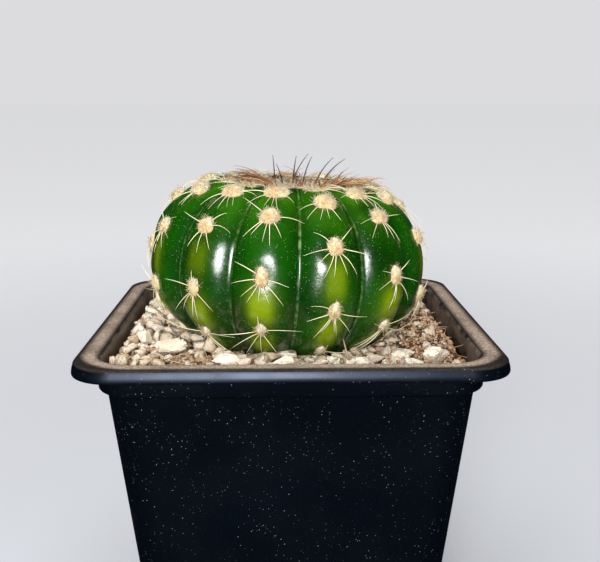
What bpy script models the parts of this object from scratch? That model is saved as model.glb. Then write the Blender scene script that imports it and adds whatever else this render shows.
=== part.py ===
"""A round, ribbed cactus in a square black nursery pot: separate solids, in metres, +Z up, front towards -Y."""

import math

import bmesh
import bpy
from mathutils import Matrix, Vector

MM = 0.001

# Gaps between neighbouring solids.
GAP = 0.3 * MM
MIX_GAP = 0.4 * MM

# Pot: a square rim with a lip turned down, a collar under it and a tapered wall.
POT_HEIGHT = 88 * MM
RIM_HALF = 45 * MM
RIM_CORNER = 9.5 * MM
RIM_INNER_HALF = 41 * MM
LIP_DEPTH = 2.8 * MM
LIP_EDGE = 0.9 * MM
COLLAR_HALF = 40.35 * MM
COLLAR_CORNER = 8 * MM
COLLAR_DEPTH = 7.2 * MM
SHOULDER_HALF = 38.8 * MM
SHOULDER_RISE = 0.7 * MM
BASE_HALF = 30 * MM
BASE_CORNER = 6 * MM
BASE_EDGE = 1 * MM
WALL = 1 * MM
FLOOR = 1.4 * MM
DRAIN_RADIUS = 4 * MM
DRAIN_INSET = 12 * MM

# Potting mix: how far its surface lies below the rim, its slope to the right and its waves.
MIX_DROP = 2.9 * MM
MIX_SLOPE = 0.028
MIX_WAVE = 0.35 * MM
MIX_WAVE_LENGTH = 17 * MM

# Cactus stem: a flattened globe, leaning a little to the right, with its widest part above the rim.
STEM_RADIUS = 32.9 * MM
STEM_UPPER = 23.6 * MM
STEM_UPPER_POWER = 2.4
STEM_LOWER = 22.8 * MM
STEM_LOWER_POWER = 1.79
STEM_RISE = 11.4 * MM
STEM_X = -0.75 * MM
STEM_LEAN = math.radians(3.3)
STEM_NOD = math.radians(0.6)
RIBS = 13
RIB_DEPTH = 2.9 * MM
RIB_ROUNDNESS = 2.3
FIRST_RIB = math.radians(-9.9)
CROWN_RADIUS = 12 * MM
CROWN_DIP = 4 * MM

# Wool in the crown and on the areoles.
WOOL_RADIUS = 9.5 * MM
WOOL_THICKNESS = 2.5 * MM
WOOL_SHARES = (0.1, 0.25, 0.5, 0.75, 0.92, 1)
AREOLE_SIZE = (3.3 * MM, 4.4 * MM, 1.5 * MM)
AREOLE_ROWS = {
    "even": (16.5 * MM, 4.8 * MM, -6.9 * MM),
    "odd": (19.3 * MM, 11.4 * MM, -1.8 * MM),
    "closing": (13.6 * MM, 0.6 * MM, -9.8 * MM),
}

# Long crown spines: where each starts on the wool, the way it points, and its length.
SPINE_THICKNESS = 0.5 * MM
CROWN_SPINES = [
    ((-2.4 * MM, -1 * MM), (-0.15, 0.0, 1.0), 5.2 * MM),
    ((-0.5 * MM, -4 * MM), (-0.35, -0.1, 1.0), 5.6 * MM),
    ((0.8 * MM, 2 * MM), (0.8, 0.1, 1.0), 6 * MM),
    ((3.9 * MM, 0 * MM), (0.35, 0.0, 1.0), 5.2 * MM),
    ((6.8 * MM, -1 * MM), (0.5, 0.0, 1.0), 6.6 * MM),
    ((8.6 * MM, 2.5 * MM), (1.1, 0.2, 0.9), 6.4 * MM),
    ((-6.5 * MM, -2 * MM), (-1.0, -0.1, 0.45), 9.5 * MM),
    ((2 * MM, 6.5 * MM), (0.2, 1.0, 0.9), 7 * MM),
]

# Larger stones of the top dressing: place from the pot's centre, length, width, height and turn.
STONES = [
    ((31.5 * MM, -26 * MM), (6.4 * MM, 5 * MM, 4.2 * MM), 25),
    ((-26.5 * MM, -22 * MM), (7.6 * MM, 5 * MM, 3.4 * MM), -20),
    ((-13.5 * MM, -34 * MM), (6.4 * MM, 4.4 * MM, 3.2 * MM), 8),
    ((-2 * MM, -34.4 * MM), (5 * MM, 4.2 * MM, 3.2 * MM), -15),
    ((13.8 * MM, -34.2 * MM), (6 * MM, 4.4 * MM, 3.4 * MM), 12),
    ((23.5 * MM, -26.5 * MM), (5 * MM, 4 * MM, 3.6 * MM), 40),
    ((-33.5 * MM, -13 * MM), (5 * MM, 4 * MM, 3.6 * MM), 70),
    ((26 * MM, 28 * MM), (6 * MM, 5 * MM, 4 * MM), -30),
]

# Derived sizes.
RIM_STRAIGHT = RIM_HALF - RIM_CORNER
COLLAR_STRAIGHT = COLLAR_HALF - COLLAR_CORNER
BASE_STRAIGHT = BASE_HALF - BASE_CORNER
COLLAR_BOTTOM = POT_HEIGHT - COLLAR_DEPTH
INNER_COLLAR_HALF = COLLAR_HALF - WALL
MOUTH_EDGE = RIM_INNER_HALF - INNER_COLLAR_HALF
STEM_FRAME = (
    Matrix.Translation((STEM_X, 0, POT_HEIGHT + STEM_RISE))
    @ Matrix.Rotation(STEM_LEAN, 4, "Y")
    @ Matrix.Rotation(STEM_NOD, 4, "X")
)


def clear_scene():
    for obj in list(bpy.data.objects):
        bpy.data.objects.remove(obj, do_unlink=True)


def collection(name):
    made = bpy.data.collections.new(name)
    bpy.context.scene.collection.children.link(made)
    return made


def plain_material(name, colour, roughness):
    """A Principled material without metal, from a linear colour."""
    material = bpy.data.materials.new(name)
    material.use_nodes = True
    shader = material.node_tree.nodes["Principled BSDF"]
    shader.inputs["Base Color"].default_value = (*colour, 1)
    shader.inputs["Roughness"].default_value = roughness
    shader.inputs["Metallic"].default_value = 0
    return material


def add_object(name, mesh, material, where):
    mesh.materials.append(material)
    obj = bpy.data.objects.new(name, mesh)
    where.objects.link(obj)
    return obj


def mesh_from(name, form):
    """Turns a bmesh into a smooth-shaded mesh whose sharp corners stay sharp."""
    bmesh.ops.recalc_face_normals(form, faces=form.faces)
    # On a skin with a hollow end, recalculating can turn every face inwards.
    if form.calc_volume(signed=True) < 0:
        bmesh.ops.reverse_faces(form, faces=form.faces)
    mesh = bpy.data.meshes.new(name)
    form.to_mesh(mesh)
    form.free()
    mesh.shade_smooth()
    mesh.set_sharp_from_angle(angle=math.radians(50))
    return mesh


def loft(name, rings):
    """One closed skin through rings of equally many points, capped at both ends."""
    form = bmesh.new()
    loops = [[form.verts.new(point) for point in ring] for ring in rings]
    for low, high in zip(loops, loops[1:]):
        for i in range(len(low)):
            j = (i + 1) % len(low)
            form.faces.new((low[i], low[j], high[j], high[i]))
    form.faces.new(reversed(loops[0]))
    form.faces.new(loops[-1])
    return mesh_from(name, form)


def square_ring(half, straight, corner_steps, side_steps):
    """Outline of a square with round corners, anticlockwise, as (x, y) pairs."""
    corner = half - straight
    points = []
    for quarter in range(4):
        turn = Matrix.Rotation(quarter * math.pi / 2, 2)
        for step in range(side_steps):
            y = straight * (2 * step / side_steps - 1)
            points.append(turn @ Vector((half, y)))
        for step in range(corner_steps):
            angle = math.pi / 2 * step / corner_steps
            x, y = straight + corner * math.cos(angle), straight + corner * math.sin(angle)
            points.append(turn @ Vector((x, y)))
    return points


def arc(centre, radius, start, end, steps):
    """Points of an arc in the pot's profile, as (half width, height), by angles in degrees."""
    points = []
    for step in range(steps + 1):
        angle = math.radians(start + (end - start) * step / steps)
        points.append((centre[0] + radius * math.cos(angle), centre[1] + radius * math.sin(angle)))
    return points


# Pot


def straight_side(half, height):
    """Half length of the flat part of a side: it narrows with the taper and widens out to the lip."""
    if half > COLLAR_HALF:
        share = (half - COLLAR_HALF) / (RIM_HALF - COLLAR_HALF)
        return COLLAR_STRAIGHT + share * (RIM_STRAIGHT - COLLAR_STRAIGHT)
    return BASE_STRAIGHT + height / POT_HEIGHT * (COLLAR_STRAIGHT - BASE_STRAIGHT)


def wall_half(height):
    """Outer half width of the tapered wall."""
    share = height / (COLLAR_BOTTOM - SHOULDER_RISE)
    return BASE_HALF + share * (SHOULDER_HALF - BASE_HALF)


def outer_profile():
    shoulder = (COLLAR_HALF - SHOULDER_HALF) / 2
    foot = arc((BASE_HALF - BASE_EDGE, BASE_EDGE), BASE_EDGE, -90, 0, 3)
    step = [
        (SHOULDER_HALF, COLLAR_BOTTOM - SHOULDER_RISE),
        (SHOULDER_HALF + shoulder * 0.5, COLLAR_BOTTOM - SHOULDER_RISE * 0.35),
        (COLLAR_HALF - shoulder * 0.5, COLLAR_BOTTOM),
        (COLLAR_HALF, COLLAR_BOTTOM + SHOULDER_RISE * 0.6),
    ]
    lip = [
        (COLLAR_HALF, POT_HEIGHT - WALL),
        (RIM_HALF - WALL, POT_HEIGHT - WALL),
        (RIM_HALF - WALL, POT_HEIGHT - LIP_DEPTH),
        (RIM_HALF, POT_HEIGHT - LIP_DEPTH),
    ]
    edge = arc((RIM_HALF - LIP_EDGE, POT_HEIGHT - LIP_EDGE), LIP_EDGE, 0, 90, 3)
    return foot + step + lip + edge


def inner_profile():
    mouth = arc((RIM_INNER_HALF, POT_HEIGHT - MOUTH_EDGE), MOUTH_EDGE, 90, 180, 4)
    shoulder = COLLAR_BOTTOM - WALL
    return mouth + [
        (INNER_COLLAR_HALF, COLLAR_BOTTOM),
        (wall_half(shoulder) - WALL, shoulder - SHOULDER_RISE),
        (wall_half(FLOOR) - WALL, FLOOR),
    ]


def build_pot(material, where, cutters):
    rings = []
    for half, height in outer_profile() + inner_profile():
        outline = square_ring(half, straight_side(half, height), 6, 1)
        rings.append([(x, y, height) for x, y in outline])
    pot = add_object("pot", loft("pot", rings), material, where)
    drains = pot.modifiers.new("drain_holes", "BOOLEAN")
    drains.operation = "DIFFERENCE"
    drains.object = drain_cutter(cutters)


def drain_cutter(where):
    """Four upright cylinders through the floor, one near each corner."""
    form = bmesh.new()
    reach = BASE_HALF - DRAIN_INSET
    for x in (-reach, reach):
        for y in (-reach, reach):
            bmesh.ops.create_cone(
                form,
                cap_ends=True,
                segments=20,
                radius1=DRAIN_RADIUS,
                radius2=DRAIN_RADIUS,
                depth=4 * FLOOR,
                matrix=Matrix.Translation((x, y, 0)),
            )
    cutter = bpy.data.objects.new("drain_cutter", mesh_from("drain_cutter", form))
    cutter.hide_render = True
    cutter.display_type = "WIRE"
    where.objects.link(cutter)
    return cutter


# Cactus stem


def stem_radius(height, grow=0.0):
    """Radius of the smooth globe over the rib crests, at a height above its widest part."""
    depth, power = (STEM_UPPER, STEM_UPPER_POWER) if height > 0 else (STEM_LOWER, STEM_LOWER_POWER)
    share = min(abs(height) / (depth + grow), 1)
    return (STEM_RADIUS + grow) * (1 - share**power) ** (1 / power)


def globe_top(radius):
    """Height of the smooth globe's upper side at a radius."""
    return STEM_UPPER * (1 - (radius / STEM_RADIUS) ** STEM_UPPER_POWER) ** (1 / STEM_UPPER_POWER)


def crown_dip(radius):
    """How far the hollow in the crown lies below the globe."""
    share = min(radius / CROWN_RADIUS, 1)
    return CROWN_DIP * (1 - share**2) ** 2


def rib_drop(angle, radius, height):
    """How far the skin lies below the crests: broad round ribs with narrow grooves, smooth under the wool."""
    turn = (angle + math.pi / 2 - FIRST_RIB) * RIBS / math.tau
    from_crest = abs(turn - round(turn)) * 2
    full_depth = 0.65 * STEM_RADIUS
    near_crown = min(max(radius - WOOL_RADIUS, 0) / (full_depth - WOOL_RADIUS), 1)
    near_base = 1 - 0.8 * min(max(-height / STEM_LOWER, 0), 1) ** 2
    return RIB_DEPTH * near_crown * near_base * from_crest**RIB_ROUNDNESS


def stem_meridian():
    """(radius, height) down the globe, from the crown's middle to the foot."""
    inner = [WOOL_RADIUS * share for share in WOOL_SHARES]
    points = [(radius, globe_top(radius)) for radius in inner + [CROWN_RADIUS * 0.9]]
    for degrees in range(76, 0, -7):
        angle = math.radians(degrees)
        height = STEM_UPPER * math.sin(angle) ** (2 / STEM_UPPER_POWER)
        points.append((stem_radius(height), height))
    for degrees in range(0, 88, 8):
        angle = math.radians(degrees)
        height = -STEM_LOWER * math.sin(angle) ** (2 / STEM_LOWER_POWER)
        points.append((stem_radius(height), height))
    return points


def build_stem(material, where):
    rings = []
    steps = RIBS * 8
    for radius, height in reversed(stem_meridian()):
        ring = []
        for step in range(steps):
            angle = FIRST_RIB + math.tau * step / steps - math.pi / 2
            reach = radius - rib_drop(angle, radius, height)
            drop = crown_dip(radius) if height > 0 else 0
            ring.append(STEM_FRAME @ Vector((reach * math.cos(angle), reach * math.sin(angle), height - drop)))
        rings.append(ring)
    add_object("cactus_stem", loft("cactus_stem", rings), material, where)


# Potting mix


def mix_height(x, y):
    """Height of the mix's surface: it slopes down to the right, in low waves."""
    wave = math.sin(math.tau * x / MIX_WAVE_LENGTH) * math.cos(math.tau * y / MIX_WAVE_LENGTH)
    return POT_HEIGHT - MIX_DROP - MIX_SLOPE * x + MIX_WAVE * wave


def socket_point(angle, height):
    """A point of the hollow that the stem sits in."""
    reach = stem_radius(height, MIX_GAP)
    return STEM_FRAME @ Vector((reach * math.cos(angle), reach * math.sin(angle), height))


def socket_top(angle):
    """Height, in the stem's frame, at which the hollow's wall meets the mix's surface."""
    height = -STEM_RISE
    for _ in range(8):
        point = socket_point(angle, height)
        height += mix_height(point.x, point.y) - point.z
    return height


def build_mix(material, where):
    rings = []
    for half, height in reversed(inner_profile()[-3:]):
        outline = square_ring(half - MIX_GAP, straight_side(half, height), 6, 7)
        rings.append([Vector((x, y, height + MIX_GAP)) for x, y in outline])
    edge = [Vector((p.x, p.y, mix_height(p.x, p.y))) for p in rings[-1]]
    angles = [math.atan2(p.y, p.x - STEM_X) for p in edge]
    tops = [socket_top(angle) for angle in angles]
    lip = [socket_point(angle, top) for angle, top in zip(angles, tops)]
    for share in (0, 0.15, 0.4, 0.65, 0.88):
        ring = [a.lerp(b, share) for a, b in zip(edge, lip)]
        rings.append([Vector((p.x, p.y, mix_height(p.x, p.y))) for p in ring])
    bottom = -(STEM_LOWER + MIX_GAP)
    for share in (0, 0.2, 0.4, 0.6, 0.76, 0.88, 0.95, 0.99):
        rings.append([socket_point(a, top + share * (bottom - top)) for a, top in zip(angles, tops)])
    add_object("potting_mix", loft("potting_mix", rings), material, where)


# Wool, areoles and spines


def wool_foot(radius):
    """Height of the wool's underside, a gap above the crown's hollow."""
    return globe_top(radius) - crown_dip(radius) + GAP


def wool_top(radius):
    share = min(radius / WOOL_RADIUS, 1)
    return wool_foot(radius) + WOOL_THICKNESS * (1 - share**2.5)


def build_crown_wool(material, where):
    """A turned pad that fills the crown's hollow."""
    profile = bmesh.new()
    radii = [0] + [WOOL_RADIUS * share for share in WOOL_SHARES]
    top = [(radius, 0, wool_top(radius)) for radius in radii]
    foot = [(radius, 0, wool_foot(radius)) for radius in reversed(radii[:-1])]
    line = [profile.verts.new(point) for point in top + foot]
    for start, end in zip(line, line[1:]):
        profile.edges.new((start, end))
    mesh = bpy.data.meshes.new("crown_wool")
    profile.to_mesh(mesh)
    profile.free()
    wool = add_object("crown_wool", mesh, material, where)
    wool.matrix_world = STEM_FRAME
    turn = wool.modifiers.new("turn", "SCREW")
    turn.steps = turn.render_steps = 24
    turn.use_merge_vertices = True
    turn.merge_threshold = 0.00001


def crest_frame(angle, height):
    """Matrix at a point of a rib's crest: X across the rib, Y up along it, Z outwards."""
    step = 0.1 * MM
    slope = (stem_radius(height + step) - stem_radius(height - step)) / (2 * step)
    out = Vector((math.cos(angle), math.sin(angle), 0))
    along = (out * slope + Vector((0, 0, 1))).normalized()
    across = Vector((-math.sin(angle), math.cos(angle), 0))
    normal = across.cross(along)
    place = out * stem_radius(height) + Vector((0, 0, height)) + normal * GAP
    turn = Matrix((across, along, normal)).transposed()
    return STEM_FRAME @ Matrix.Translation(place) @ turn.to_4x4()


def areole_mesh():
    """A cushion of wool with a flat underside."""
    form = bmesh.new()
    bmesh.ops.create_icosphere(form, subdivisions=2, radius=0.5)
    width, length, thickness = AREOLE_SIZE
    for vert in form.verts:
        vert.co.z = max(vert.co.z, -0.1) + 0.1
    bmesh.ops.scale(form, verts=form.verts, vec=(width, length, thickness / 0.6))
    return mesh_from("areole", form)


def build_areoles(material, where):
    mesh = areole_mesh()
    mesh.materials.append(material)
    for rib in range(RIBS):
        kind = "closing" if rib == RIBS - 1 else ("even", "odd")[rib % 2]
        angle = FIRST_RIB + math.tau * rib / RIBS - math.pi / 2
        for row, height in enumerate(AREOLE_ROWS[kind], 1):
            areole = bpy.data.objects.new(f"areole_{rib + 1:02d}_{row}", mesh)
            areole.matrix_world = crest_frame(angle, height)
            where.objects.link(areole)


def build_crown_spines(material, where):
    """Tapered wires that stand on the wool, each bowed a little outwards."""
    for number, ((x, y), direction, length) in enumerate(CROWN_SPINES, 1):
        curve = bpy.data.curves.new(f"crown_spine_{number}", "CURVE")
        curve.dimensions = "3D"
        curve.bevel_depth = SPINE_THICKNESS / 2
        curve.bevel_resolution = 1
        curve.use_fill_caps = True
        line = curve.splines.new("POLY")
        line.points.add(4)
        start = Vector((x, y, wool_top(math.hypot(x, y)) + 2 * GAP))
        way = Vector(direction).normalized()
        bow = Vector((way.x, way.y, 0)) * length
        for i, point in enumerate(line.points):
            share = i / 4
            place = start + way * length * share + bow * 0.18 * share * (share - 1)
            point.co = (*place, 1)
            point.radius = 1 - 0.7 * share
        curve.materials.append(material)
        spine = bpy.data.objects.new(curve.name, curve)
        spine.matrix_world = STEM_FRAME
        where.objects.link(spine)


# Stones


def build_stones(material, where):
    """Blunt stones with flattened undersides, each resting on the mix."""
    for number, ((x, y), size, turn) in enumerate(STONES, 1):
        form = bmesh.new()
        bmesh.ops.create_icosphere(form, subdivisions=2, radius=0.5)
        for i, vert in enumerate(form.verts):
            lump = 1 - 0.11 * math.sin(2.3 * i + 1.7 * number) ** 2
            vert.co.x *= lump
            vert.co.y *= lump
            vert.co.z = max(vert.co.z * lump, -0.15) + 0.15
        bmesh.ops.scale(form, verts=form.verts, vec=(size[0], size[1], size[2] / 0.65))
        ground = max(mix_height(x + dx, y + dy) for dx in (-size[0] / 2, 0, size[0] / 2)
                     for dy in (-size[0] / 2, 0, size[0] / 2))
        stone = add_object(f"stone_{number}", mesh_from(f"stone_{number}", form), material, where)
        place = Matrix.Translation((x, y, ground + GAP))
        stone.matrix_world = place @ Matrix.Rotation(math.radians(turn), 4, "Z")


def main():
    clear_scene()
    plant = collection("potted_round_cactus")
    cutters = collection("cutters")
    build_pot(plain_material("black_plastic", (0.006, 0.008, 0.011), 0.38), plant, cutters)
    build_mix(plain_material("potting_mix", (0.33, 0.24, 0.16), 0.95), plant)
    build_stones(plain_material("pumice", (0.68, 0.57, 0.42), 0.9), plant)
    build_stem(plain_material("green_skin", (0.02, 0.12, 0.01), 0.3), plant)
    wool = plain_material("cream_wool", (0.8, 0.66, 0.38), 1.0)
    build_crown_wool(wool, plant)
    build_areoles(wool, plant)
    build_crown_spines(plain_material("brown_spine", (0.09, 0.035, 0.015), 0.5), plant)


main()
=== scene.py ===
"""A round, ribbed cactus in a square nursery pot, laid out as an add-on that rebuilds its looks round a CAD frame."""

import math

import bmesh
import bpy
import numpy as np
from bpy.props import FloatProperty, FloatVectorProperty, IntProperty, PointerProperty
from mathutils import Matrix, Vector, noise


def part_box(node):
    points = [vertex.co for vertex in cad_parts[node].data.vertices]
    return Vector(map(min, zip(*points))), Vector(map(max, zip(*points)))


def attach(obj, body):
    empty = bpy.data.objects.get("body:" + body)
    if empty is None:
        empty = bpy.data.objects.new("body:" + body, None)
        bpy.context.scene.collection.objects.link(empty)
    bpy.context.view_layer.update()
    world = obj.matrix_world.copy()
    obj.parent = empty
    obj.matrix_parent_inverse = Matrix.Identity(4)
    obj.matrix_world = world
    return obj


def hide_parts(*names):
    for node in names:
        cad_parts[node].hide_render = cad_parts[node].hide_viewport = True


bl_info = {
    "name": "Potted Round Cactus",
    "version": (1, 0, 0),
    "blender": (4, 5, 0),
    "location": "3D View > Sidebar > Cactus",
    "description": "Builds a round cactus in a square pot, piece by piece, round its CAD frame",
    "category": "Add Mesh",
}

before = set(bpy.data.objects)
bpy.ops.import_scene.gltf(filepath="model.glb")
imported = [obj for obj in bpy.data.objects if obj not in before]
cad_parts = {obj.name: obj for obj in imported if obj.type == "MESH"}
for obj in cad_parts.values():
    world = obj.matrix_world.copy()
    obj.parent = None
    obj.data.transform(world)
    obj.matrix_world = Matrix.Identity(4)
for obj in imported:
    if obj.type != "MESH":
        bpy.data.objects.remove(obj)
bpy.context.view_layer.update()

MM = 0.001
POT_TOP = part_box("pot")[1].z
RIBS = 13
FIRST_RIB = math.radians(-9.9)

# Distances of a rib's areoles from the crown's middle, along its crest. Ribs take turns between the first two
# rows, and the last one closes the ring of thirteen with a row of its own.
AREOLE_ROWS = {
    "even": (13.6 * MM, 20 * MM, 28.2 * MM, 41.8 * MM, 54 * MM, 65.3 * MM),
    "odd": (11 * MM, 16.1 * MM, 23.2 * MM, 34.8 * MM, 48.5 * MM, 61 * MM),
    "closing": (12 * MM, 16.6 * MM, 21.4 * MM, 32.3 * MM, 46 * MM, 57.8 * MM),
}
# Young areoles in the crown's hollow.
TUFTS = 16
GOLDEN_ANGLE = math.radians(137.5)
# The first of a rib's three areoles that are CAD nodes, as a place in its row.
FIRST_CAD_AREOLE = {"even": 2, "odd": 2, "closing": 3}


# Colours and nodes


def colour(code):
    """Linear RGB of an sRGB hex value."""
    channels = [int(code[i : i + 2], 16) / 255 for i in (0, 2, 4)]
    return [c / 12.92 if c <= 0.04045 else ((c + 0.055) / 1.055) ** 2.4 for c in channels]


def add_node(tree, kind, links=None, **settings):
    """Adds a node with its settings. links gives an input's name or number a value or another node's output."""
    made = tree.nodes.new(kind)
    for name, value in settings.items():
        setattr(made, name, value)
    for socket, source in (links or {}).items():
        if isinstance(source, bpy.types.NodeSocket):
            tree.links.new(source, made.inputs[socket])
        elif hasattr(source, "__len__") and len(source) == 3 and made.inputs[socket].type == "RGBA":
            made.inputs[socket].default_value = (*source, 1)
        else:
            made.inputs[socket].default_value = source
    return made


def new_material(name):
    """An empty node material with its Principled shader, as (material, tree, shader)."""
    material = bpy.data.materials.new(name)
    material.use_nodes = True
    return material, material.node_tree, material.node_tree.nodes["Principled BSDF"]


def object_space(tree):
    return add_node(tree, "ShaderNodeTexCoord").outputs["Object"]


def attribute(tree, name):
    return add_node(tree, "ShaderNodeAttribute", attribute_name=name).outputs["Fac"]


def maths(tree, operation, first, second=0.0, clamp=False):
    return add_node(tree, "ShaderNodeMath", {0: first, 1: second}, operation=operation, use_clamp=clamp).outputs[0]


def noise_at(tree, place, size, detail=3.0, roughness=0.5):
    """Noise whose lumps are about this size, in metres."""
    links = {"Vector": place, "Scale": 0.5 / size, "Detail": detail, "Roughness": roughness}
    return add_node(tree, "ShaderNodeTexNoise", links).outputs["Fac"]


def ramp(tree, value, low, high, to_low=0.0, to_high=1.0):
    """Maps low..high smoothly onto to_low..to_high."""
    links = {"Value": value, "From Min": low, "From Max": high, "To Min": to_low, "To Max": to_high}
    return add_node(tree, "ShaderNodeMapRange", links, interpolation_type="SMOOTHSTEP").outputs["Result"]


def blend_colours(tree, share, first, second):
    """Mixes two colours, each a linear RGB value or an output."""
    return add_node(tree, "ShaderNodeMix", {0: share, 6: first, 7: second}, data_type="RGBA").outputs[2]


def bump(tree, height, strength, distance):
    links = {"Height": height, "Strength": strength, "Distance": distance}
    return add_node(tree, "ShaderNodeBump", links).outputs["Normal"]


# Working with pieces


def primitive(operator, **settings):
    """Adds a primitive by its operator, with nothing else selected, and returns its object."""
    bpy.ops.object.select_all(action="DESELECT")
    operator(**settings)
    return bpy.context.object


def finish_piece(piece, name, material, nodes=()):
    """Names a piece, gives it its material and slot, and rides it on the frame's one body."""
    piece.name = piece.data.name = name
    piece.data.materials.clear()
    piece.data.materials.append(material)
    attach(piece, "root")
    if nodes:
        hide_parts(*nodes)
    return piece


def arrays_of(piece):
    """(points, triangles) of a mesh object."""
    mesh = piece.data
    mesh.calc_loop_triangles()
    points = np.empty(len(mesh.vertices) * 3)
    mesh.vertices.foreach_get("co", points)
    faces = np.empty(len(mesh.loop_triangles) * 3, np.int32)
    mesh.loop_triangles.foreach_get("vertices", faces)
    return points.reshape(-1, 3), faces.reshape(-1, 3)


def template(piece):
    """Takes a finished small shape out of the scene as (points, triangles), to be copied."""
    made = arrays_of(piece)
    bpy.data.objects.remove(piece)
    return made


def piece_from(points, faces, values=None, smooth=True):
    """A mesh object from arrays of points and triangles, with float attributes for its points."""
    mesh = bpy.data.meshes.new("piece")
    mesh.vertices.add(len(points))
    mesh.vertices.foreach_set("co", np.ascontiguousarray(points, np.float32).ravel())
    mesh.loops.add(faces.size)
    mesh.loops.foreach_set("vertex_index", np.ascontiguousarray(faces, np.int32).ravel())
    mesh.polygons.add(len(faces))
    mesh.polygons.foreach_set("loop_start", np.arange(0, faces.size, 3, dtype=np.int32))
    mesh.update(calc_edges=True)
    for name, value in (values or {}).items():
        layer = mesh.attributes.new(name, "FLOAT", "POINT")
        layer.data.foreach_set("value", np.ascontiguousarray(value, np.float32))
    if smooth:
        mesh.shade_smooth()
    made = bpy.data.objects.new("piece", mesh)
    bpy.context.scene.collection.objects.link(made)
    return made


def joined_copies(parts):
    """Joins copies, each (points, triangles, {attribute: values}), into one set of arrays."""
    points, faces, values, count = [], [], {}, 0
    for own_points, own_faces, own_values in parts:
        points.append(own_points)
        faces.append(own_faces + count)
        count += len(own_points)
        for name, value in own_values.items():
            values.setdefault(name, []).append(np.broadcast_to(value, len(own_points)))
    return np.concatenate(points), np.concatenate(faces), {n: np.concatenate(v) for n, v in values.items()}


def spike_template(sides, rings):
    """A unit spike along +Z, extruded ring by ring from a small polygon and closed at its tip."""
    bpy.ops.object.select_all(action="DESELECT")
    bpy.ops.mesh.primitive_circle_add(vertices=sides, radius=1, fill_type="NGON")
    spike = bpy.context.object
    bpy.ops.object.mode_set(mode="EDIT")
    bpy.ops.mesh.select_all(action="SELECT")
    for _ in range(rings):
        bpy.ops.mesh.extrude_region_move(TRANSFORM_OT_translate={"value": (0, 0, 1 / rings)})
    bpy.ops.mesh.select_all(action="SELECT")
    bpy.ops.mesh.normals_make_consistent(inside=False)
    bpy.ops.object.mode_set(mode="OBJECT")
    return template(spike)


def bent_spikes(spike, starts, middles, ends, radii, tip=0.2):
    """Copies a unit spike along many curved lines, each from start to end and drawn towards its middle point."""
    points, faces = spike
    along = points[:, 2]
    t = along[None, :, None]
    a, b, c = starts[:, None], middles[:, None], ends[:, None]
    path = (1 - t) ** 2 * a + 2 * t * (1 - t) * b + t**2 * c
    tangent = 2 * (1 - t) * (b - a) + 2 * t * (c - b)
    tangent /= np.linalg.norm(tangent, axis=2, keepdims=True) + 1e-12
    side = np.cross(tangent, [0.31, 0.17, 0.93])
    side /= np.linalg.norm(side, axis=2, keepdims=True) + 1e-12
    other = np.cross(tangent, side)
    width = radii[:, None, None] * (1 - (1 - tip) * t**1.5)
    placed = path + width * (side * points[None, :, 0:1] + other * points[None, :, 1:2])
    count, each = placed.shape[:2]
    all_faces = (faces[None] + (np.arange(count) * each)[:, None, None]).reshape(-1, 3)
    return placed.reshape(-1, 3), all_faces, np.tile(along, count), each


# The stem's shape


def stem_frame(stem):
    """Matrix of the stem's own frame: its middle stands over the rim, and its axis leans."""
    return (
        Matrix.Translation((stem.offset, 0, POT_TOP + stem.rise))
        @ Matrix.Rotation(stem.lean, 4, "Y")
        @ Matrix.Rotation(stem.nod, 4, "X")
    )


def globe_radius(stem, height):
    """Radius of the smooth globe over the rib crests at a height in the stem's frame."""
    upper = height >= 0
    share = np.clip(np.where(upper, height / stem.upper, -height / stem.lower), 0, 1)
    power = np.where(upper, stem.upper_power, stem.lower_power)
    return stem.radius * (1 - share**power) ** (1 / power)


def crown_dip(stem, radius):
    share = np.clip(radius / stem.crown_radius, 0, 1)
    return stem.crown_dip * (1 - share**2) ** 2


def crest_line(stem):
    """Points (radius, height) down a rib's crest from the crown's middle, with their distance along it."""
    turn = np.linspace(math.pi / 2, -math.pi / 2, 1200)
    up = turn >= 0
    depth = np.where(up, stem.upper, stem.lower)
    power = np.where(up, stem.upper_power, stem.lower_power)
    height = np.sign(turn) * depth * np.abs(np.sin(turn)) ** (2 / power)
    radius = stem.radius * np.abs(np.cos(turn)) ** (2 / power)
    height = height - np.where(up, crown_dip(stem, radius), 0)
    steps = np.hypot(np.diff(radius), np.diff(height))
    return radius, height, np.concatenate([[0], np.cumsum(steps)])


def rib_phase(angle):
    """How far a direction is from the nearest crest, from 0 on it to 1 in the groove, and the crest's number."""
    turn = (angle + math.pi / 2 - FIRST_RIB) * RIBS / math.tau
    nearest = np.round(turn)
    return np.abs(turn - nearest) * 2, nearest.astype(int) % RIBS


def row_kind(rib):
    return "closing" if rib == RIBS - 1 else ("even", "odd")[rib % 2]


def crest_angle(rib):
    return FIRST_RIB + math.tau * rib / RIBS - math.pi / 2


def areole_places(stem):
    """Each areole as (rib, place in its row, frame matrix, distance from the crown): X across, Y up the rib, Z out."""
    radius, height, distance = crest_line(stem)
    body = stem_frame(stem)
    found = []
    for rib in range(RIBS):
        angle = crest_angle(rib)
        out = Vector((math.cos(angle), math.sin(angle), 0))
        across = Vector((-math.sin(angle), math.cos(angle), 0))
        for number, reach in enumerate(AREOLE_ROWS[row_kind(rib)]):
            r, z = np.interp(reach, distance, radius), np.interp(reach, distance, height)
            near, far = reach - 0.5 * MM, reach + 0.5 * MM
            slope = [np.interp(near, distance, line) - np.interp(far, distance, line) for line in (radius, height)]
            along = (out * slope[0] + Vector((0, 0, slope[1]))).normalized()
            normal = across.cross(along)
            turn = Matrix((across, along, normal)).transposed().to_4x4()
            place = out * r + Vector((0, 0, z)) - normal * stem.areole_notch * 0.6
            found.append((rib, number, body @ Matrix.Translation(place) @ turn, reach))
    return found


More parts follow.
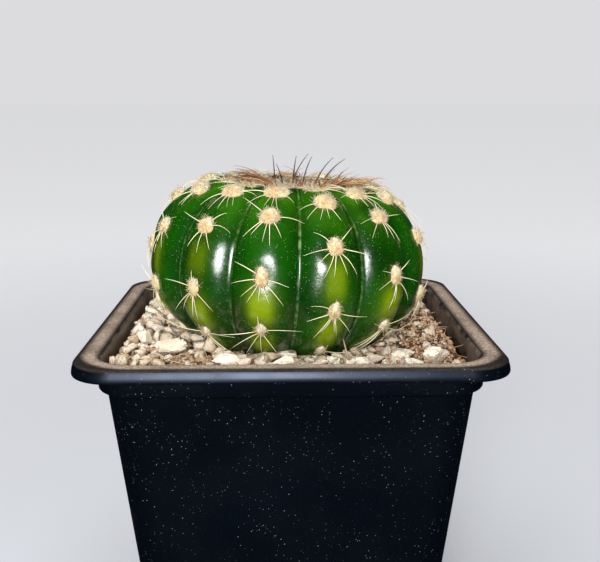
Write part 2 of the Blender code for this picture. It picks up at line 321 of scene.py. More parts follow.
def rib_masks(stem, phase, rib, reach):
    """For points of the skin: nearness to an areole, and how yellow the skin is between two of them."""
    near = np.zeros(len(reach))
    lime = np.zeros(len(reach))
    for number in range(RIBS):
        mine = rib == number
        row = AREOLE_ROWS[row_kind(number)]
        along, side = reach[mine], phase[mine]
        for place in row:
            near[mine] = np.maximum(near[mine], np.exp(-(((along - place) / (3 * MM)) ** 2) - (side / 0.42) ** 2))
        for upper, lower in zip(row[2:], row[3:] + (row[-1] + 12 * MM,)):
            middle = (upper + lower) / 2 + 0.6 * MM
            strength = np.clip((middle - 37 * MM) / (8 * MM), 0, 1)
            half = (lower - upper) / 2 - (4.2 - 1.9 * strength) * MM
            window = 1 / (1 + (np.abs(along - middle) / half) ** 4)
            width = 0.25 + 0.08 * strength - 0.05 * math.sin(2.4 * number)
            lime[mine] = np.maximum(lime[mine], strength * window / (1 + (side / width) ** 5))
    return near, lime


# Materials of the plant


def waxy_skin(stem):
    """Cactus skin: a waxy, firm surface, so it gleams softly, with fine pale pores and yellow-green patches."""
    material, tree, shader = new_material("waxy_cactus_skin")
    place = object_space(tree)
    phase, lime, reach = attribute(tree, "phase"), attribute(tree, "lime"), attribute(tree, "reach")
    cloud = noise_at(tree, place, 9 * MM, 4)
    base = blend_colours(tree, ramp(tree, cloud, 0.35, 0.65), stem.deep_green, stem.mid_green)
    crown_light = ramp(tree, reach, 38 * MM, 16 * MM)
    patchy = maths(tree, "MULTIPLY", crown_light, ramp(tree, noise_at(tree, place, 5 * MM), 0.3, 0.65))
    base = blend_colours(tree, maths(tree, "MULTIPLY", patchy, 0.85), base, stem.young_green)
    # Painted shade: the skin is darkened towards the bottom of each groove, where the shadow falls.
    base = blend_colours(tree, maths(tree, "MULTIPLY", ramp(tree, phase, 0.55, 0.95), 0.45), base, stem.painted_groove_shade)
    soft_lime = maths(tree, "MULTIPLY", lime, ramp(tree, cloud, 0.2, 0.55, 0.75, 1.0))
    base = blend_colours(tree, soft_lime, base, stem.lime)
    # Old skin near the soil turns dull and brownish.
    old = maths(tree, "MULTIPLY", ramp(tree, reach, 58 * MM, 68 * MM), 0.35)
    base = blend_colours(tree, old, base, colour("4B5134"))
    # A pale line runs along the bottom of each groove, broken here and there.
    broken = ramp(tree, noise_at(tree, place, 1.6 * MM, 3), 0.38, 0.58, 0.1, 0.8)
    broken = maths(tree, "MULTIPLY", broken, ramp(tree, noise_at(tree, place, 11 * MM, 2), 0.4, 0.6, 0.3, 1.0))
    waver = maths(tree, "MULTIPLY", noise_at(tree, place, 0.7 * MM, 3), 0.05)
    line = maths(tree, "MULTIPLY", ramp(tree, maths(tree, "ADD", phase, waver), 0.975, 1.005), broken)
    base = blend_colours(tree, line, base, stem.groove_line)
    # Pores: pale dots under half a millimetre apart, drawn a little larger than real so that they show.
    pores = add_node(tree, "ShaderNodeTexVoronoi", {"Vector": place, "Scale": 1 / (0.6 * MM)}).outputs["Distance"]
    sparse = ramp(tree, noise_at(tree, place, 2.2 * MM, 2), 0.34, 0.56)
    dots = maths(tree, "MULTIPLY", ramp(tree, pores, 0.17, 0.08), sparse)
    base = blend_colours(tree, maths(tree, "MULTIPLY", dots, 0.6), base, stem.pore)
    tree.links.new(base, shader.inputs["Base Color"])
    grain = noise_at(tree, place, 0.5 * MM, 4, 0.7)
    tree.links.new(ramp(tree, grain, 0.3, 0.7, 0.17, 0.28), shader.inputs["Roughness"])
    tree.links.new(bump(tree, grain, 0.6, 0.06 * MM), shader.inputs["Normal"])
    shader.inputs["IOR"].default_value = 1.45
    shader.inputs["Specular IOR Level"].default_value = 0.75
    shader.inputs["Subsurface Weight"].default_value = 0.06
    shader.inputs["Subsurface Radius"].default_value = (0.3, 1.0, 0.1)
    shader.inputs["Subsurface Scale"].default_value = 1.2 * MM
    return material


def matted_wool(name, plant, shadow, patch, hollows):
    """Cactus wool: matted cream hairs, so it is quite matt, with painted shade in its hollows and a lighter, fuzzy
    top.
    """
    material, tree, shader = new_material(name)
    place = object_space(tree)
    # Painted shade: the shadow colour darkens the low parts of the lumpy wool, the same parts that the bump sinks.
    mottled = ramp(tree, noise_at(tree, place, patch, 4, 0.65), hollows - 0.12, hollows + 0.12)
    base = blend_colours(tree, mottled, shadow, plant.wool)
    tree.links.new(bump(tree, mottled, 0.6, 0.2 * MM), shader.inputs["Normal"])
    base = blend_colours(tree, attribute(tree, "tone"), base, plant.wool_tip)
    rusty = maths(tree, "MULTIPLY", attribute(tree, "spot"), 0.55)
    base = blend_colours(tree, rusty, base, plant.rust)
    tree.links.new(base, shader.inputs["Base Color"])
    shader.inputs["Roughness"].default_value = 1
    shader.inputs["Sheen Weight"].default_value = 0.25
    shader.inputs["Specular IOR Level"].default_value = 0.15
    return material


def dry_spine(name, root, tip, root_share=0.35):
    """Cactus spine: hard, dry and smooth like a fine thorn, so it has a thin gleam."""
    material, tree, shader = new_material(name)
    fade = ramp(tree, attribute(tree, "along"), 0.0, root_share)
    base = blend_colours(tree, fade, root, tip)
    varied = blend_colours(tree, maths(tree, "MULTIPLY", attribute(tree, "tone"), 0.6), base, root)
    tree.links.new(varied, shader.inputs["Base Color"])
    shader.inputs["Roughness"].default_value = 0.45
    return material


# Materials of the pot and of what fills it


def moulded_polypropylene(pot):
    """Black injection-moulded polypropylene: a satin plastic that shows every speck of dust and dried mix."""
    material, tree, shader = new_material("moulded_polypropylene")
    place = object_space(tree)
    parts = add_node(tree, "ShaderNodeSeparateXYZ", {0: place})
    x, y = (maths(tree, "ABSOLUTE", parts.outputs[i]) for i in (0, 1))
    # How far out a point lies, measured on the pot's own rounded square.
    straight = pot.collar * (1 - pot.rim_corner / pot.rim)
    past = [maths(tree, "MAXIMUM", maths(tree, "SUBTRACT", side, straight), 0.0) for side in (x, y)]
    corner = maths(tree, "SQRT", maths(tree, "ADD", *(maths(tree, "MULTIPLY", side, side) for side in past)))
    half = maths(tree, "ADD", corner, straight)
    height = parts.outputs[2]
    cloud = noise_at(tree, place, 14 * MM, 4, 0.6)
    # Painted sheen: lighter, bluish patches mixed into the black plastic's colour.
    base = blend_colours(tree, cloud, pot.colour, pot.sheen)
    # Specks of dust, about 0.2 mm across, thicker in some places than in others.
    cells = add_node(tree, "ShaderNodeTexVoronoi", {"Vector": place, "Scale": 1 / (1.3 * MM)}).outputs["Distance"]
    few = ramp(tree, noise_at(tree, place, 6 * MM, 3), 0.36, 0.66, 0.0, 0.5)
    specks = maths(tree, "MULTIPLY", ramp(tree, cells, 0.09, 0.04), few)
    fine = add_node(tree, "ShaderNodeTexVoronoi", {"Vector": place, "Scale": 1 / (0.8 * MM)}).outputs["Distance"]
    dense = ramp(tree, noise_at(tree, place, 4 * MM, 3), 0.4, 0.7, 0.0, 0.4)
    specks = maths(tree, "MAXIMUM", specks, maths(tree, "MULTIPLY", ramp(tree, fine, 0.13, 0.06), dense))
    # The rim and the inside carry a film of dried mix.
    on_top = ramp(tree, height, POT_TOP - 0.6 * MM, POT_TOP - 0.05 * MM)
    middle_of_wall = pot.collar - pot.wall / 2
    inside = ramp(tree, half, middle_of_wall + 0.1 * MM, middle_of_wall - 0.1 * MM)
    inside = maths(tree, "MULTIPLY", inside, ramp(tree, height, POT_TOP - 6.8 * MM, POT_TOP - 6.4 * MM))
    throat = ramp(tree, half, pot.rim - 0.9 * MM, pot.rim - 2.6 * MM, 0.08, 1.0)
    throat = maths(tree, "MULTIPLY", throat, ramp(tree, half, pot.mouth - 1.2 * MM, pot.mouth + 0.3 * MM, 0.2, 1.0))
    grain = ramp(tree, noise_at(tree, place, 0.28 * MM, 4, 0.8), 0.38, 0.6, 0.4, 1.0)
    smears = ramp(tree, noise_at(tree, place, 4 * MM, 5, 0.65), 0.36, 0.6)
    on_top = maths(tree, "MULTIPLY", maths(tree, "MULTIPLY", on_top, throat), ramp(tree, smears, 0.0, 1.0, 0.75, 1.0))
    on_wall = maths(tree, "MULTIPLY", inside, ramp(tree, smears, 0.0, 1.0, 0.03, 0.34))
    film = maths(tree, "MULTIPLY", maths(tree, "MAXIMUM", on_top, on_wall), grain)
    dust = maths(tree, "MAXIMUM", specks, film)
    base = blend_colours(tree, specks, base, pot.specks)
    base = blend_colours(tree, film, base, pot.dust)
    tree.links.new(base, shader.inputs["Base Color"])
    rough = ramp(tree, noise_at(tree, place, 8 * MM, 3), 0.3, 0.7, 0.3, 0.42)
    rough = maths(tree, "ADD", rough, maths(tree, "MULTIPLY", dust, 0.5), clamp=True)
    tree.links.new(rough, shader.inputs["Roughness"])
    tree.links.new(bump(tree, noise_at(tree, place, 0.5 * MM, 3), 0.12, 0.05 * MM), shader.inputs["Normal"])
    shader.inputs["IOR"].default_value = 1.49
    shader.inputs["Specular IOR Level"].default_value = pot.gloss
    shader.inputs["Specular Tint"].default_value = (*pot.gleam, 1)
    return material


def crumbly_mix(mix):
    """Cactus mix: crumbs of peat, bark and grit, quite matt."""
    material, tree, shader = new_material("crumbly_potting_mix")
    place = object_space(tree)
    crumbs = noise_at(tree, place, 1.1 * MM, 5, 0.7)
    base = blend_colours(tree, ramp(tree, crumbs, 0.35, 0.62), mix.peat, mix.crumb)
    grit = ramp(tree, noise_at(tree, place, 0.6 * MM, 3), 0.55, 0.64)
    base = blend_colours(tree, grit, base, mix.grit)
    tree.links.new(base, shader.inputs["Base Color"])
    shader.inputs["Roughness"].default_value = 0.95
    tree.links.new(bump(tree, crumbs, 0.8, 0.6 * MM), shader.inputs["Normal"])
    return material


def broken_stone(name, light, shade, stain, pit_size):
    """Broken volcanic stone: dusty and matt, full of small pits, with the odd rusty stain."""
    material, tree, shader = new_material(name)
    place = object_space(tree)
    base = blend_colours(tree, attribute(tree, "tone"), light, shade)
    stained = ramp(tree, noise_at(tree, place, 1.8 * MM, 4, 0.65), 0.52, 0.7)
    base = blend_colours(tree, maths(tree, "MULTIPLY", stained, 0.6), base, stain)
    pits = noise_at(tree, place, pit_size, 4, 0.75)
    # Painted shade: the pits, which the bump sinks, are darkened.
    dark = maths(tree, "MULTIPLY", ramp(tree, pits, 0.46, 0.32), 0.75)
    base = blend_colours(tree, dark, base, colour("6E5A45"))
    tree.links.new(base, shader.inputs["Base Color"])
    shader.inputs["Roughness"].default_value = 0.92
    tree.links.new(bump(tree, pits, 1.0, 0.5 * MM), shader.inputs["Normal"])
    return material


# Pot


def pot_profile(pot):
    """(half width, height) from the foot's edge up the outside, over the lip and rim, and down to the floor."""

    def rounded(half, height, radius, start, end, steps=5):
        angles = [math.radians(start + (end - start) * i / steps) for i in range(steps + 1)]
        return [(half + radius * math.cos(a), height + radius * math.sin(a)) for a in angles]

    top, wall, collar_foot = POT_TOP, pot.wall, POT_TOP - pot.collar_depth
    inner = pot.collar - wall
    mouth = pot.mouth - inner
    foot = rounded(pot.base - MM, MM, MM, -90, 0)
    step = [
        (pot.shoulder, collar_foot - 0.7 * MM),
        (pot.shoulder + 0.15 * MM, collar_foot - 0.42 * MM),
        (pot.collar - 0.7 * MM, collar_foot - 0.02 * MM),
        (pot.collar - 0.2 * MM, collar_foot + 0.12 * MM),
        (pot.collar, collar_foot + 0.5 * MM),
    ]
    under = [
        (pot.collar, top - wall - 0.4 * MM),
        (pot.collar + 0.4 * MM, top - wall),
        (pot.rim - wall, top - wall),
        (pot.rim - wall, top - pot.lip + 0.2 * MM),
        (pot.rim - wall + 0.2 * MM, top - pot.lip),
        (pot.rim - 0.3 * MM, top - pot.lip),
        (pot.rim - 0.08 * MM, top - pot.lip + 0.08 * MM),
        (pot.rim, top - pot.lip + 0.3 * MM),
    ]
    # The lip's face stands upright at its foot and leans back towards its top, and so catches the light there.
    under += [(pot.rim - 0.006 * MM * i**2.5, top - pot.lip + 0.3 * MM + 0.34 * MM * i) for i in range(1, 5)]
    edge = rounded(pot.rim - MM, top - 0.7 * MM, 0.7 * MM, 25, 90, 6)
    throat = rounded(pot.mouth, top - mouth, mouth, 90, 180, 7)
    inside = [
        (inner, collar_foot),
        (pot.shoulder - wall - 0.1 * MM, collar_foot - 1.6 * MM),
        (pot.base - wall + 0.15 * MM, pot.floor + MM),
        (pot.base - wall - 0.85 * MM, pot.floor),
    ]
    return foot + step + under + edge + throat + inside


def rounded_square(size, corner):
    """A flat square with rounded corners, centred on the origin, left in edit mode with its face selected."""
    square = primitive(bpy.ops.mesh.primitive_plane_add, size=size)
    bpy.ops.object.mode_set(mode="EDIT")
    bpy.ops.mesh.select_all(action="SELECT")
    bpy.ops.mesh.bevel(affect="VERTICES", offset=corner, segments=12, offset_type="OFFSET", profile=0.5)
    bpy.ops.mesh.select_all(action="SELECT")
    return square


def add_pot(pot):
    profile = pot_profile(pot)
    half, height = profile[0]
    # The rim's corner radius fixes the outline, which keeps its shape as it is scaled up the profile.
    body = rounded_square(2 * half, pot.rim_corner * half / pot.rim)
    for (old_half, old_height), (new_half, new_height) in zip(profile, profile[1:]):
        rise = new_height - old_height
        bpy.ops.mesh.extrude_region_move(TRANSFORM_OT_translate={"value": (0, 0, rise)})
        scale = new_half / old_half
        bpy.ops.transform.resize(value=(scale, scale, 1), center_override=(0, 0, new_height))
    bpy.ops.mesh.select_all(action="SELECT")
    bpy.ops.mesh.normals_make_consistent(inside=False)
    bpy.ops.object.mode_set(mode="OBJECT")
    drill_drain_holes(body, pot)
    bpy.ops.object.shade_smooth_by_angle(angle=math.radians(40))
    return finish_piece(body, "nursery_pot", moulded_polypropylene(pot), ["pot"])


def drill_drain_holes(body, pot):
    reach = pot.base - 12 * MM
    for x in (-reach, reach):
        for y in (-reach, reach):
            drill = primitive(
                bpy.ops.mesh.primitive_cylinder_add, vertices=32, radius=4 * MM, depth=8 * MM, location=(x, y, 0)
            )
            bpy.ops.object.select_all(action="DESELECT")
            body.select_set(True)
            bpy.context.view_layer.objects.active = body
            cut = body.modifiers.new("drain_hole", "BOOLEAN")
            cut.operation, cut.object = "DIFFERENCE", drill
            bpy.ops.object.modifier_apply(modifier=cut.name)
            bpy.data.objects.remove(drill)


# Potting mix


def mix_height(mix, x, y):
    """Height of the mix's surface: highest behind the front rim, lower round the stem and towards the right."""
    waves = np.sin(x / (2.7 * MM) + 1.3) * np.cos(y / (3.1 * MM)) * 0.25 * MM
    fall = mix.hollow * np.clip((y + 36 * MM) / (12 * MM), 0, 1)
    return POT_TOP - mix.drop - mix.slope * x + waves - fall


def inner_half(pot, height):
    """Half width of the pot's inside at a height."""
    shoulder = POT_TOP - pot.collar_depth - 1.6 * MM
    share = np.clip(height / shoulder, 0, 1)
    wall = pot.base + share * (pot.shoulder - pot.base) - pot.wall
    return np.where(height > shoulder + MM, pot.collar - pot.wall, wall)


def under_stem(stem, x, y):
    """Height of the stem's underside over points of the plan, or a large value past its edge."""
    body = np.array(stem_frame(stem))
    r = np.hypot(x - stem.offset, y)
    share = np.clip(r / stem.radius, 0, 1)
    drop = stem.lower * (1 - share**stem.lower_power) ** (1 / stem.lower_power)
    tilt = -math.tan(stem.lean) * (x - stem.offset)
    return np.where(r < stem.radius, body[2, 3] - drop + tilt, 1.0)


def add_mix(pot, stem, mix):
    """A fine grid shaped into crumbs and a hollow for the stem, with its edge drawn down to the pot's floor."""
    half = pot.collar - pot.wall - 0.35 * MM
    steps = 150
    body = primitive(bpy.ops.mesh.primitive_grid_add, x_subdivisions=steps, y_subdivisions=steps, size=2 * half)
    corner = 7 * MM
    flat = half - corner
    points = np.array([v.co for v in body.data.vertices])
    over = np.maximum(np.abs(points[:, :2]) - flat, 0)
    length = np.linalg.norm(over, axis=1)
    # Points past the round corner move in onto it, and the ones just inside it follow.
    square = np.maximum(over[:, 0], over[:, 1])
    scale = np.where(length > 1e-9, square / np.maximum(length, 1e-9), 1)
    rounded = np.sign(points[:, :2]) * (np.minimum(np.abs(points[:, :2]), flat) + over * scale[:, None])
    x, y = rounded[:, 0], rounded[:, 1]
    crumbs = np.array([noise.fractal(Vector((a, b, 0)) / (2.2 * MM), 0.7, 2.1, 4) for a, b in rounded])
    z = mix_height(mix, x, y) - 0.8 * MM + crumbs * 0.7 * MM
    z = np.minimum(z, under_stem(stem, x, y) - 0.25 * MM)
    placed = np.column_stack([x, y, z])
    body.data.vertices.foreach_set("co", placed.ravel())
    bpy.ops.object.mode_set(mode="EDIT")
    bpy.ops.mesh.select_all(action="DESELECT")
    bpy.ops.mesh.select_non_manifold(extend=False, use_wire=False, use_multi_face=False, use_non_contiguous=False)
    floor = pot.floor + 0.4 * MM
    levels = [POT_TOP - pot.collar_depth + 0.4 * MM, POT_TOP - pot.collar_depth - 2.2 * MM, floor]
    old_half = half
    for level in levels:
        bpy.ops.mesh.extrude_edges_move()
        new_half = float(inner_half(pot, level)) - 0.35 * MM if level != floor else pot.base - pot.wall - 1.1 * MM
        scale = new_half / old_half
        bpy.ops.transform.resize(value=(scale, scale, 0), center_override=(0, 0, level))
        old_half = new_half
    bpy.ops.mesh.edge_face_add()
    bpy.ops.mesh.select_all(action="SELECT")
    bpy.ops.mesh.normals_make_consistent(inside=False)
    bpy.ops.object.mode_set(mode="OBJECT")
    bpy.ops.object.shade_smooth_by_angle(angle=math.radians(60))
    return finish_piece(body, "potting_mix_bed", crumbly_mix(mix), ["potting_mix"])


def chipped_stone(seed, cuts, fineness, flatness=1.0):
    """A stone as it breaks: a rough ball with flats cut off it, one unit across."""
    draw = np.random.default_rng(seed)
    stone = primitive(bpy.ops.mesh.primitive_ico_sphere_add, subdivisions=fineness, radius=0.5)
    bpy.ops.object.mode_set(mode="EDIT")
    for _ in range(cuts):
        normal = draw.normal(size=3)
        normal /= np.linalg.norm(normal)
        bpy.ops.mesh.select_all(action="SELECT")
        bpy.ops.mesh.bisect(
            plane_co=tuple(normal * draw.uniform(0.22, 0.38)), plane_no=tuple(normal), use_fill=True, clear_outer=True
        )
    bpy.ops.mesh.select_all(action="SELECT")
    bpy.ops.transform.vertex_random(offset=0.045, uniform=1, normal=0, seed=seed)
    bpy.ops.transform.resize(value=(1, 1, flatness))
    bpy.ops.mesh.normals_make_consistent(inside=False)
    bpy.ops.object.mode_set(mode="OBJECT")
    return stone


def add_stones(mix):
    """The larger pale stones: chipped, then roughened finely, each in the place of its CAD solid."""
    material = broken_stone("pumice_stone", mix.stone, mix.stone_shade, mix.stain, 0.45 * MM)
    made = []
    for number in range(1, 9):
        low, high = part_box(f"stone_{number}")
        stone = chipped_stone(40 + number, 7, 3)
        refine = stone.modifiers.new("refine", "SUBSURF")
        refine.subdivision_type = "SIMPLE"
        refine.levels = refine.render_levels = 1
        bpy.ops.object.modifier_apply(modifier=refine.name)
        points = np.array([v.co for v in stone.data.vertices])
        lumps = np.array([noise.fractal(Vector(p) * 4 + Vector((number, 0, 0)), 0.8, 2.0, 3) for p in points])
        points *= (1 + 0.05 * lumps)[:, None]
        size = np.array(high - low) * (1.04, 1.04, 1.0)
        spread = points.max(0) - points.min(0)
        points = (points - (points.max(0) + points.min(0)) / 2) / spread * size
        middle = (low + high) / 2
        level = mix_height(mix, 0, -36 * MM) - mix_height(mix, 0, middle.y)
        middle -= Vector((0, 0, 0.5 * MM + 0.7 * float(max(level, 0))))
        stone.data.vertices.foreach_set("co", (points + np.array(middle)).ravel())
        tone = stone.data.attributes.new("tone", "FLOAT", "POINT")
        tone.data.foreach_set("value", np.full(len(points), 0.15 * (number % 3), np.float32))
        bpy.ops.object.shade_smooth_by_angle(angle=math.radians(28))
        made.append(finish_piece(stone, f"pumice_stone_{number}", material, [f"stone_{number}"]))
    return made


def scattered(draw, tries, sizes, taken, stem, pot, mix, crowd):
    """Places for grains on the mix, largest first, none nearer to another than their sizes allow."""
    places = []
    half = pot.collar - pot.wall - 0.3 * MM
    centres = [np.array(t[:2]) for t in taken]
    radii = [t[2] for t in taken]
    for size in sorted(draw.uniform(*sizes, tries), reverse=True):
        x, y = draw.uniform(-half, half, 2)
        room = half - size * 0.5
        if max(abs(x), abs(y)) > room or math.hypot(max(abs(x) - 32 * MM, 0), max(abs(y) - 32 * MM, 0)) > 6.5 * MM - size / 2:
            continue
        ground = float(mix_height(mix, x, y))
        if float(under_stem(stem, x, y)) < ground + size * 0.45:
            continue
        if centres:
            gap = np.hypot(*(np.array(centres) - (x, y)).T)
            if (gap < crowd * (np.array(radii) + size / 2)).any():
                continue
        centres.append(np.array((x, y)))
        radii.append(size / 2)
        places.append((x, y, ground, size))
    return places


def turned(draw):
    """A random turn, as a 3 x 3 matrix, that keeps a grain's flat side more or less down."""
    lean = Matrix.Rotation(draw.normal(0, 0.5), 3, "X") @ Matrix.Rotation(draw.normal(0, 0.5), 3, "Y")
    return np.array(lean @ Matrix.Rotation(draw.uniform(0, math.tau), 3, "Z"))


def grains(draw, stones, crumbs, places, sink, stretch):
    """Copies of the stones or crumbs at the places, each turned, stretched and sunk a little into the mix."""
    parts = []
    for x, y, ground, size in places:
        shapes = stones if size > 2.2 * MM else crumbs
        points, faces = shapes[draw.integers(len(shapes))]
        own = points * (size * draw.uniform(*stretch), size, size * draw.uniform(0.6, 0.9))
        own = own @ turned(draw).T
        height = ground + size * draw.uniform(*sink)
        parts.append((own + (x, y, height), faces, {"tone": draw.uniform(0, 1)}))
    return joined_copies(parts)


# Root fibres that lie among the crumbs.
FIBRES = 180
# Twigs: where each starts in millimetres, its heading and lean in degrees, its length and its radius.
TWIGS = [
    (12.5, -30, 128, 66, 5.5, 0.2),
    (19.5, -35, 75, 12, 7, 0.2),
    (20.8, -36, 96, 30, 6, 0.16),
    (24, -31, 20, 8, 8, 0.14),
    (30, -35, 160, 14, 9, 0.13),
    (33, -20, 110, 10, 8, 0.16),
    (28, -18, 40, 16, 7, 0.12),
    (36, -30, 100, 6, 10, 0.12),
    (17, -30, 200, 10, 6, 0.14),
    (-28, -30, 30, 8, 7, 0.12),
    (-20, -34, 160, 6, 6, 0.14),
    (34, 10, 80, 10, 8, 0.16),
    (-34, 20, 250, 8, 8, 0.14),
    (10, 35, 10, 8, 9, 0.16),
]


def share_of_stones(x, y):
    """How much of the mix is pale stone: less where rusty crumbs fill the front left corner and the right side."""
    crumbs = math.exp(-(((x + 22 * MM) / (9.5 * MM)) ** 2) - ((y + 32.5 * MM) / (5.5 * MM)) ** 2)
    right = 1 / (1 + math.exp(-(x - 16 * MM) / (4 * MM)))
    return max(1 - crumbs - 0.8 * right * (y > -32 * MM), 0.06)


def add_gravel(pot, stem, mix):
    """Pumice gravel, orange grit and dark bark over the mix, each a piece of loose grains."""
    draw = np.random.default_rng(7)
    stones = [template(chipped_stone(seed, 9, 2, 0.9)) for seed in range(1, 13)]
    # Small grains come in their hundreds, so they are chipped from the coarsest ball.
    crumbs = [template(chipped_stone(seed, 5, 1)) for seed in range(21, 33)]
    taken = []
    for number in range(1, 9):
        low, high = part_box(f"stone_{number}")
        taken.append(((low.x + high.x) / 2, (low.y + high.y) / 2, (high.x - low.x) * 0.42))
    coarse = scattered(draw, 3600, (2.1 * MM, 4.4 * MM), taken, stem, pot, mix, 0.8)
    coarse = [p for p in coarse if draw.uniform() < share_of_stones(p[0], p[1])]
    taken += [(x, y, size / 2) for x, y, _, size in coarse]
    medium = scattered(draw, 8000, (1.1 * MM, 2.6 * MM), taken, stem, pot, mix, 0.74)
    pale = [draw.uniform() < 0.78 * share_of_stones(p[0], p[1]) for p in medium]
    # Crumbs are never as large as the stones: the larger places that are not stones stay bare.
    kept = [is_pale or place[3] < 1.7 * MM for place, is_pale in zip(medium, pale)]
    medium, pale = ([item for item, keep in zip(items, kept) if keep] for items in (medium, pale))
    taken += [(x, y, size / 2) for x, y, _, size in medium if size > 1.5 * MM]
    fine = scattered(draw, 18000, (0.45 * MM, 1.15 * MM), taken, stem, pot, mix, 0.5)
    third, tenth = len(fine) // 3, len(fine) // 10
    draw.shuffle(fine)
    chips = [place for place, is_pale in zip(medium, pale) if is_pale]
    crumbs_of_clay = [place for place, is_pale in zip(medium, pale) if not is_pale]
    pumice = broken_stone("pumice_gravel", mix.stone, mix.stone_shade, mix.stain, 0.4 * MM)
    rust = broken_stone("fired_clay_grit", mix.grit, mix.grit_shade, mix.stone_shade, 0.4 * MM)
    bark = broken_stone("bark_crumbs", mix.bark, mix.peat, mix.crumb, 0.5 * MM)
    groups = [
        ("pumice_gravel", coarse + chips + fine[:tenth], pumice, "pumice", (0.05, 0.34)),
        ("clay_grit", crumbs_of_clay + fine[tenth + third :], rust, "potting_mix", (0, 0.8)),
        ("bark_crumbs", fine[tenth : tenth + third], bark, "potting_mix", (0.0, 0.5)),
    ]
    made = []
    for name, places, material, slot, sink in groups:
        points, faces, values = grains(draw, stones, crumbs, places, sink, (1.0, 1.5))
        piece = piece_from(points, faces, values, smooth=False)
        made.append(finish_piece(piece, name, material))
    return made


def add_twigs(mix):
    """Dry twigs and root fibres: one leans against the stem in front, the others lie about on the mix."""
    draw = np.random.default_rng(19)
    starts, middles, ends, radii = [], [], [], []
    fibres = []
    while len(fibres) < FIBRES:
        x, y = draw.uniform(-38, 38, 2)
        if draw.uniform() < 1.1 - share_of_stones(x * MM, y * MM) and math.hypot(x, y) > 27:
            shape = draw.uniform(0, 360), draw.normal(8, 9), draw.uniform(2, 6), draw.uniform(0.05, 0.11)
            fibres.append((x, y, *shape))
    for x, y, heading, lean, length, thick in TWIGS + fibres:
        foot = np.array((x * MM, y * MM, float(mix_height(mix, x * MM, y * MM)) + 0.4 * MM))
        a, b = math.radians(heading), math.radians(lean)
        way = np.array((math.cos(a) * math.cos(b), math.sin(a) * math.cos(b), math.sin(b))) * length * MM
        starts.append(foot)
        middles.append(foot + way * 0.5 + draw.normal(0, 0.5, 3) * MM)
        ends.append(foot + way)
        radii.append(thick * MM)
    lines = [np.array(p) for p in (starts, middles, ends)]
    points, faces, along, each = bent_spikes(spike_template(6, 6), *lines, np.array(radii), 0.55)
    tone = np.repeat(draw.uniform(0, 1, len(radii)), each)
    piece = piece_from(points, faces, {"along": along, "tone": tone})
    return finish_piece(piece, "dry_twigs", dry_spine("dry_twig", mix.bark, mix.grit, 0.5))


# Stem


def add_stem(stem):
    """A fine ball whose points are moved onto the ribbed globe, with what its material needs stored in them."""
    body = primitive(bpy.ops.mesh.primitive_uv_sphere_add, segments=RIBS * 26, ring_count=150, radius=1)
    points = np.array([v.co for v in body.data.vertices])
    angle = np.arctan2(points[:, 1], points[:, 0])
    # The ball's seam turns with the first rib, so that crests and grooves fall on its edges.
    angle = angle + crest_angle(0)
    turn = np.arcsin(np.clip(points[:, 2], -1, 1))
    up = turn >= 0
    depth = np.where(up, stem.upper, stem.lower)
    power = np.where(up, stem.upper_power, stem.lower_power)
    height = np.sign(turn) * depth * np.abs(np.sin(turn)) ** (2 / power)
    radius = stem.radius * np.abs(np.cos(turn)) ** (2 / power)
    phase, rib = rib_phase(angle)
    line_radius, line_height, distance = crest_line(stem)
    order = np.argsort(line_height[::-1])
    crown = height > stem.upper * 0.8
    reach_low = np.interp(height, line_height[::-1][order], distance[::-1][order])
    reach_high = np.interp(radius, line_radius[:600], distance[:600])
    reach = np.where(crown, reach_high, reach_low)
    near, lime = rib_masks(stem, phase, rib, reach)
    bare = 5 * MM
    near_crown = np.clip((radius - bare) / (0.6 * stem.radius - bare), 0, 1)
    near_base = 1 - 0.75 * np.clip(-height / stem.lower, 0, 1) ** 2
    drop = stem.rib_depth * near_crown * near_base * phase**stem.rib_roundness
    wobble = np.array([noise.noise(Vector(p) * 5) for p in points]) * 0.25 * MM
    drop = drop + stem.areole_notch * near + wobble * near_crown
    reach_out = np.maximum(radius - drop, 0)
    sink = np.where(up, crown_dip(stem, radius), 0)
    local = np.column_stack([reach_out * np.cos(angle), reach_out * np.sin(angle), height - sink])
    frame_matrix = np.array(stem_frame(stem))
    placed = local @ frame_matrix[:3, :3].T + frame_matrix[:3, 3]
    body.data.vertices.foreach_set("co", placed.ravel())
    for name, value in (("phase", phase), ("lime", lime), ("reach", reach)):
        layer = body.data.attributes.new(name, "FLOAT", "POINT")
        layer.data.foreach_set("value", value.astype(np.float32))
    body.data.update()
    body.data.shade_smooth()
    return finish_piece(body, "ribbed_stem", waxy_skin(stem), ["cactus_stem"])


# Wool


def pad_size(reach):
    """(width, length, thickness) of an areole's wool: broad and deep by the crown, slim lower down."""
    rows = [(12, 3.4, 2.4, 0.4), (16, 4.6, 3.4, 0.6), (20, 5.6, 4.2, 1.3), (23, 5.4, 4.4, 1.7)]
    rows += [(28, 4.2, 3.9, 1.5), (35, 3.3, 3.9, 1.25)]
    rows += [(42, 2.7, 4.4, 1.05), (50, 2.4, 3.5, 0.9), (56, 1.9, 2.7, 0.8), (66, 1.7, 2.4, 0.7)]
    table = np.array(rows) * MM
    return tuple(float(np.interp(reach, table[:, 0], table[:, i])) for i in (1, 2, 3))


def wool_pad(draw, ball, matrix, size):
    """One lumpy cushion of matted wool, as points in the object's frame."""
    points = ball[0].copy()
    shift = Vector(draw.uniform(0, 50, 3))
    lumps = np.array([noise.fractal(Vector(p) * 3 + shift, 0.6, 2.2, 3) for p in points])
    points = points * (1 + 0.24 * lumps)[:, None]
    # The wool widens a little at its lower end, where the spines come out, and turns rusty at its middle.
    points[:, 0] *= 1 - 0.18 * points[:, 1]
    spot = np.exp(-((points[:, 0] / 0.16) ** 2) - ((points[:, 1] + 0.17) / 0.2) ** 2)
    points *= (size[0], size[1], size[2] * 2)
    points[:, 2] = np.maximum(points[:, 2], -0.3 * MM)
    turn = np.array(matrix)
    return points @ turn[:3, :3].T + turn[:3, 3], spot


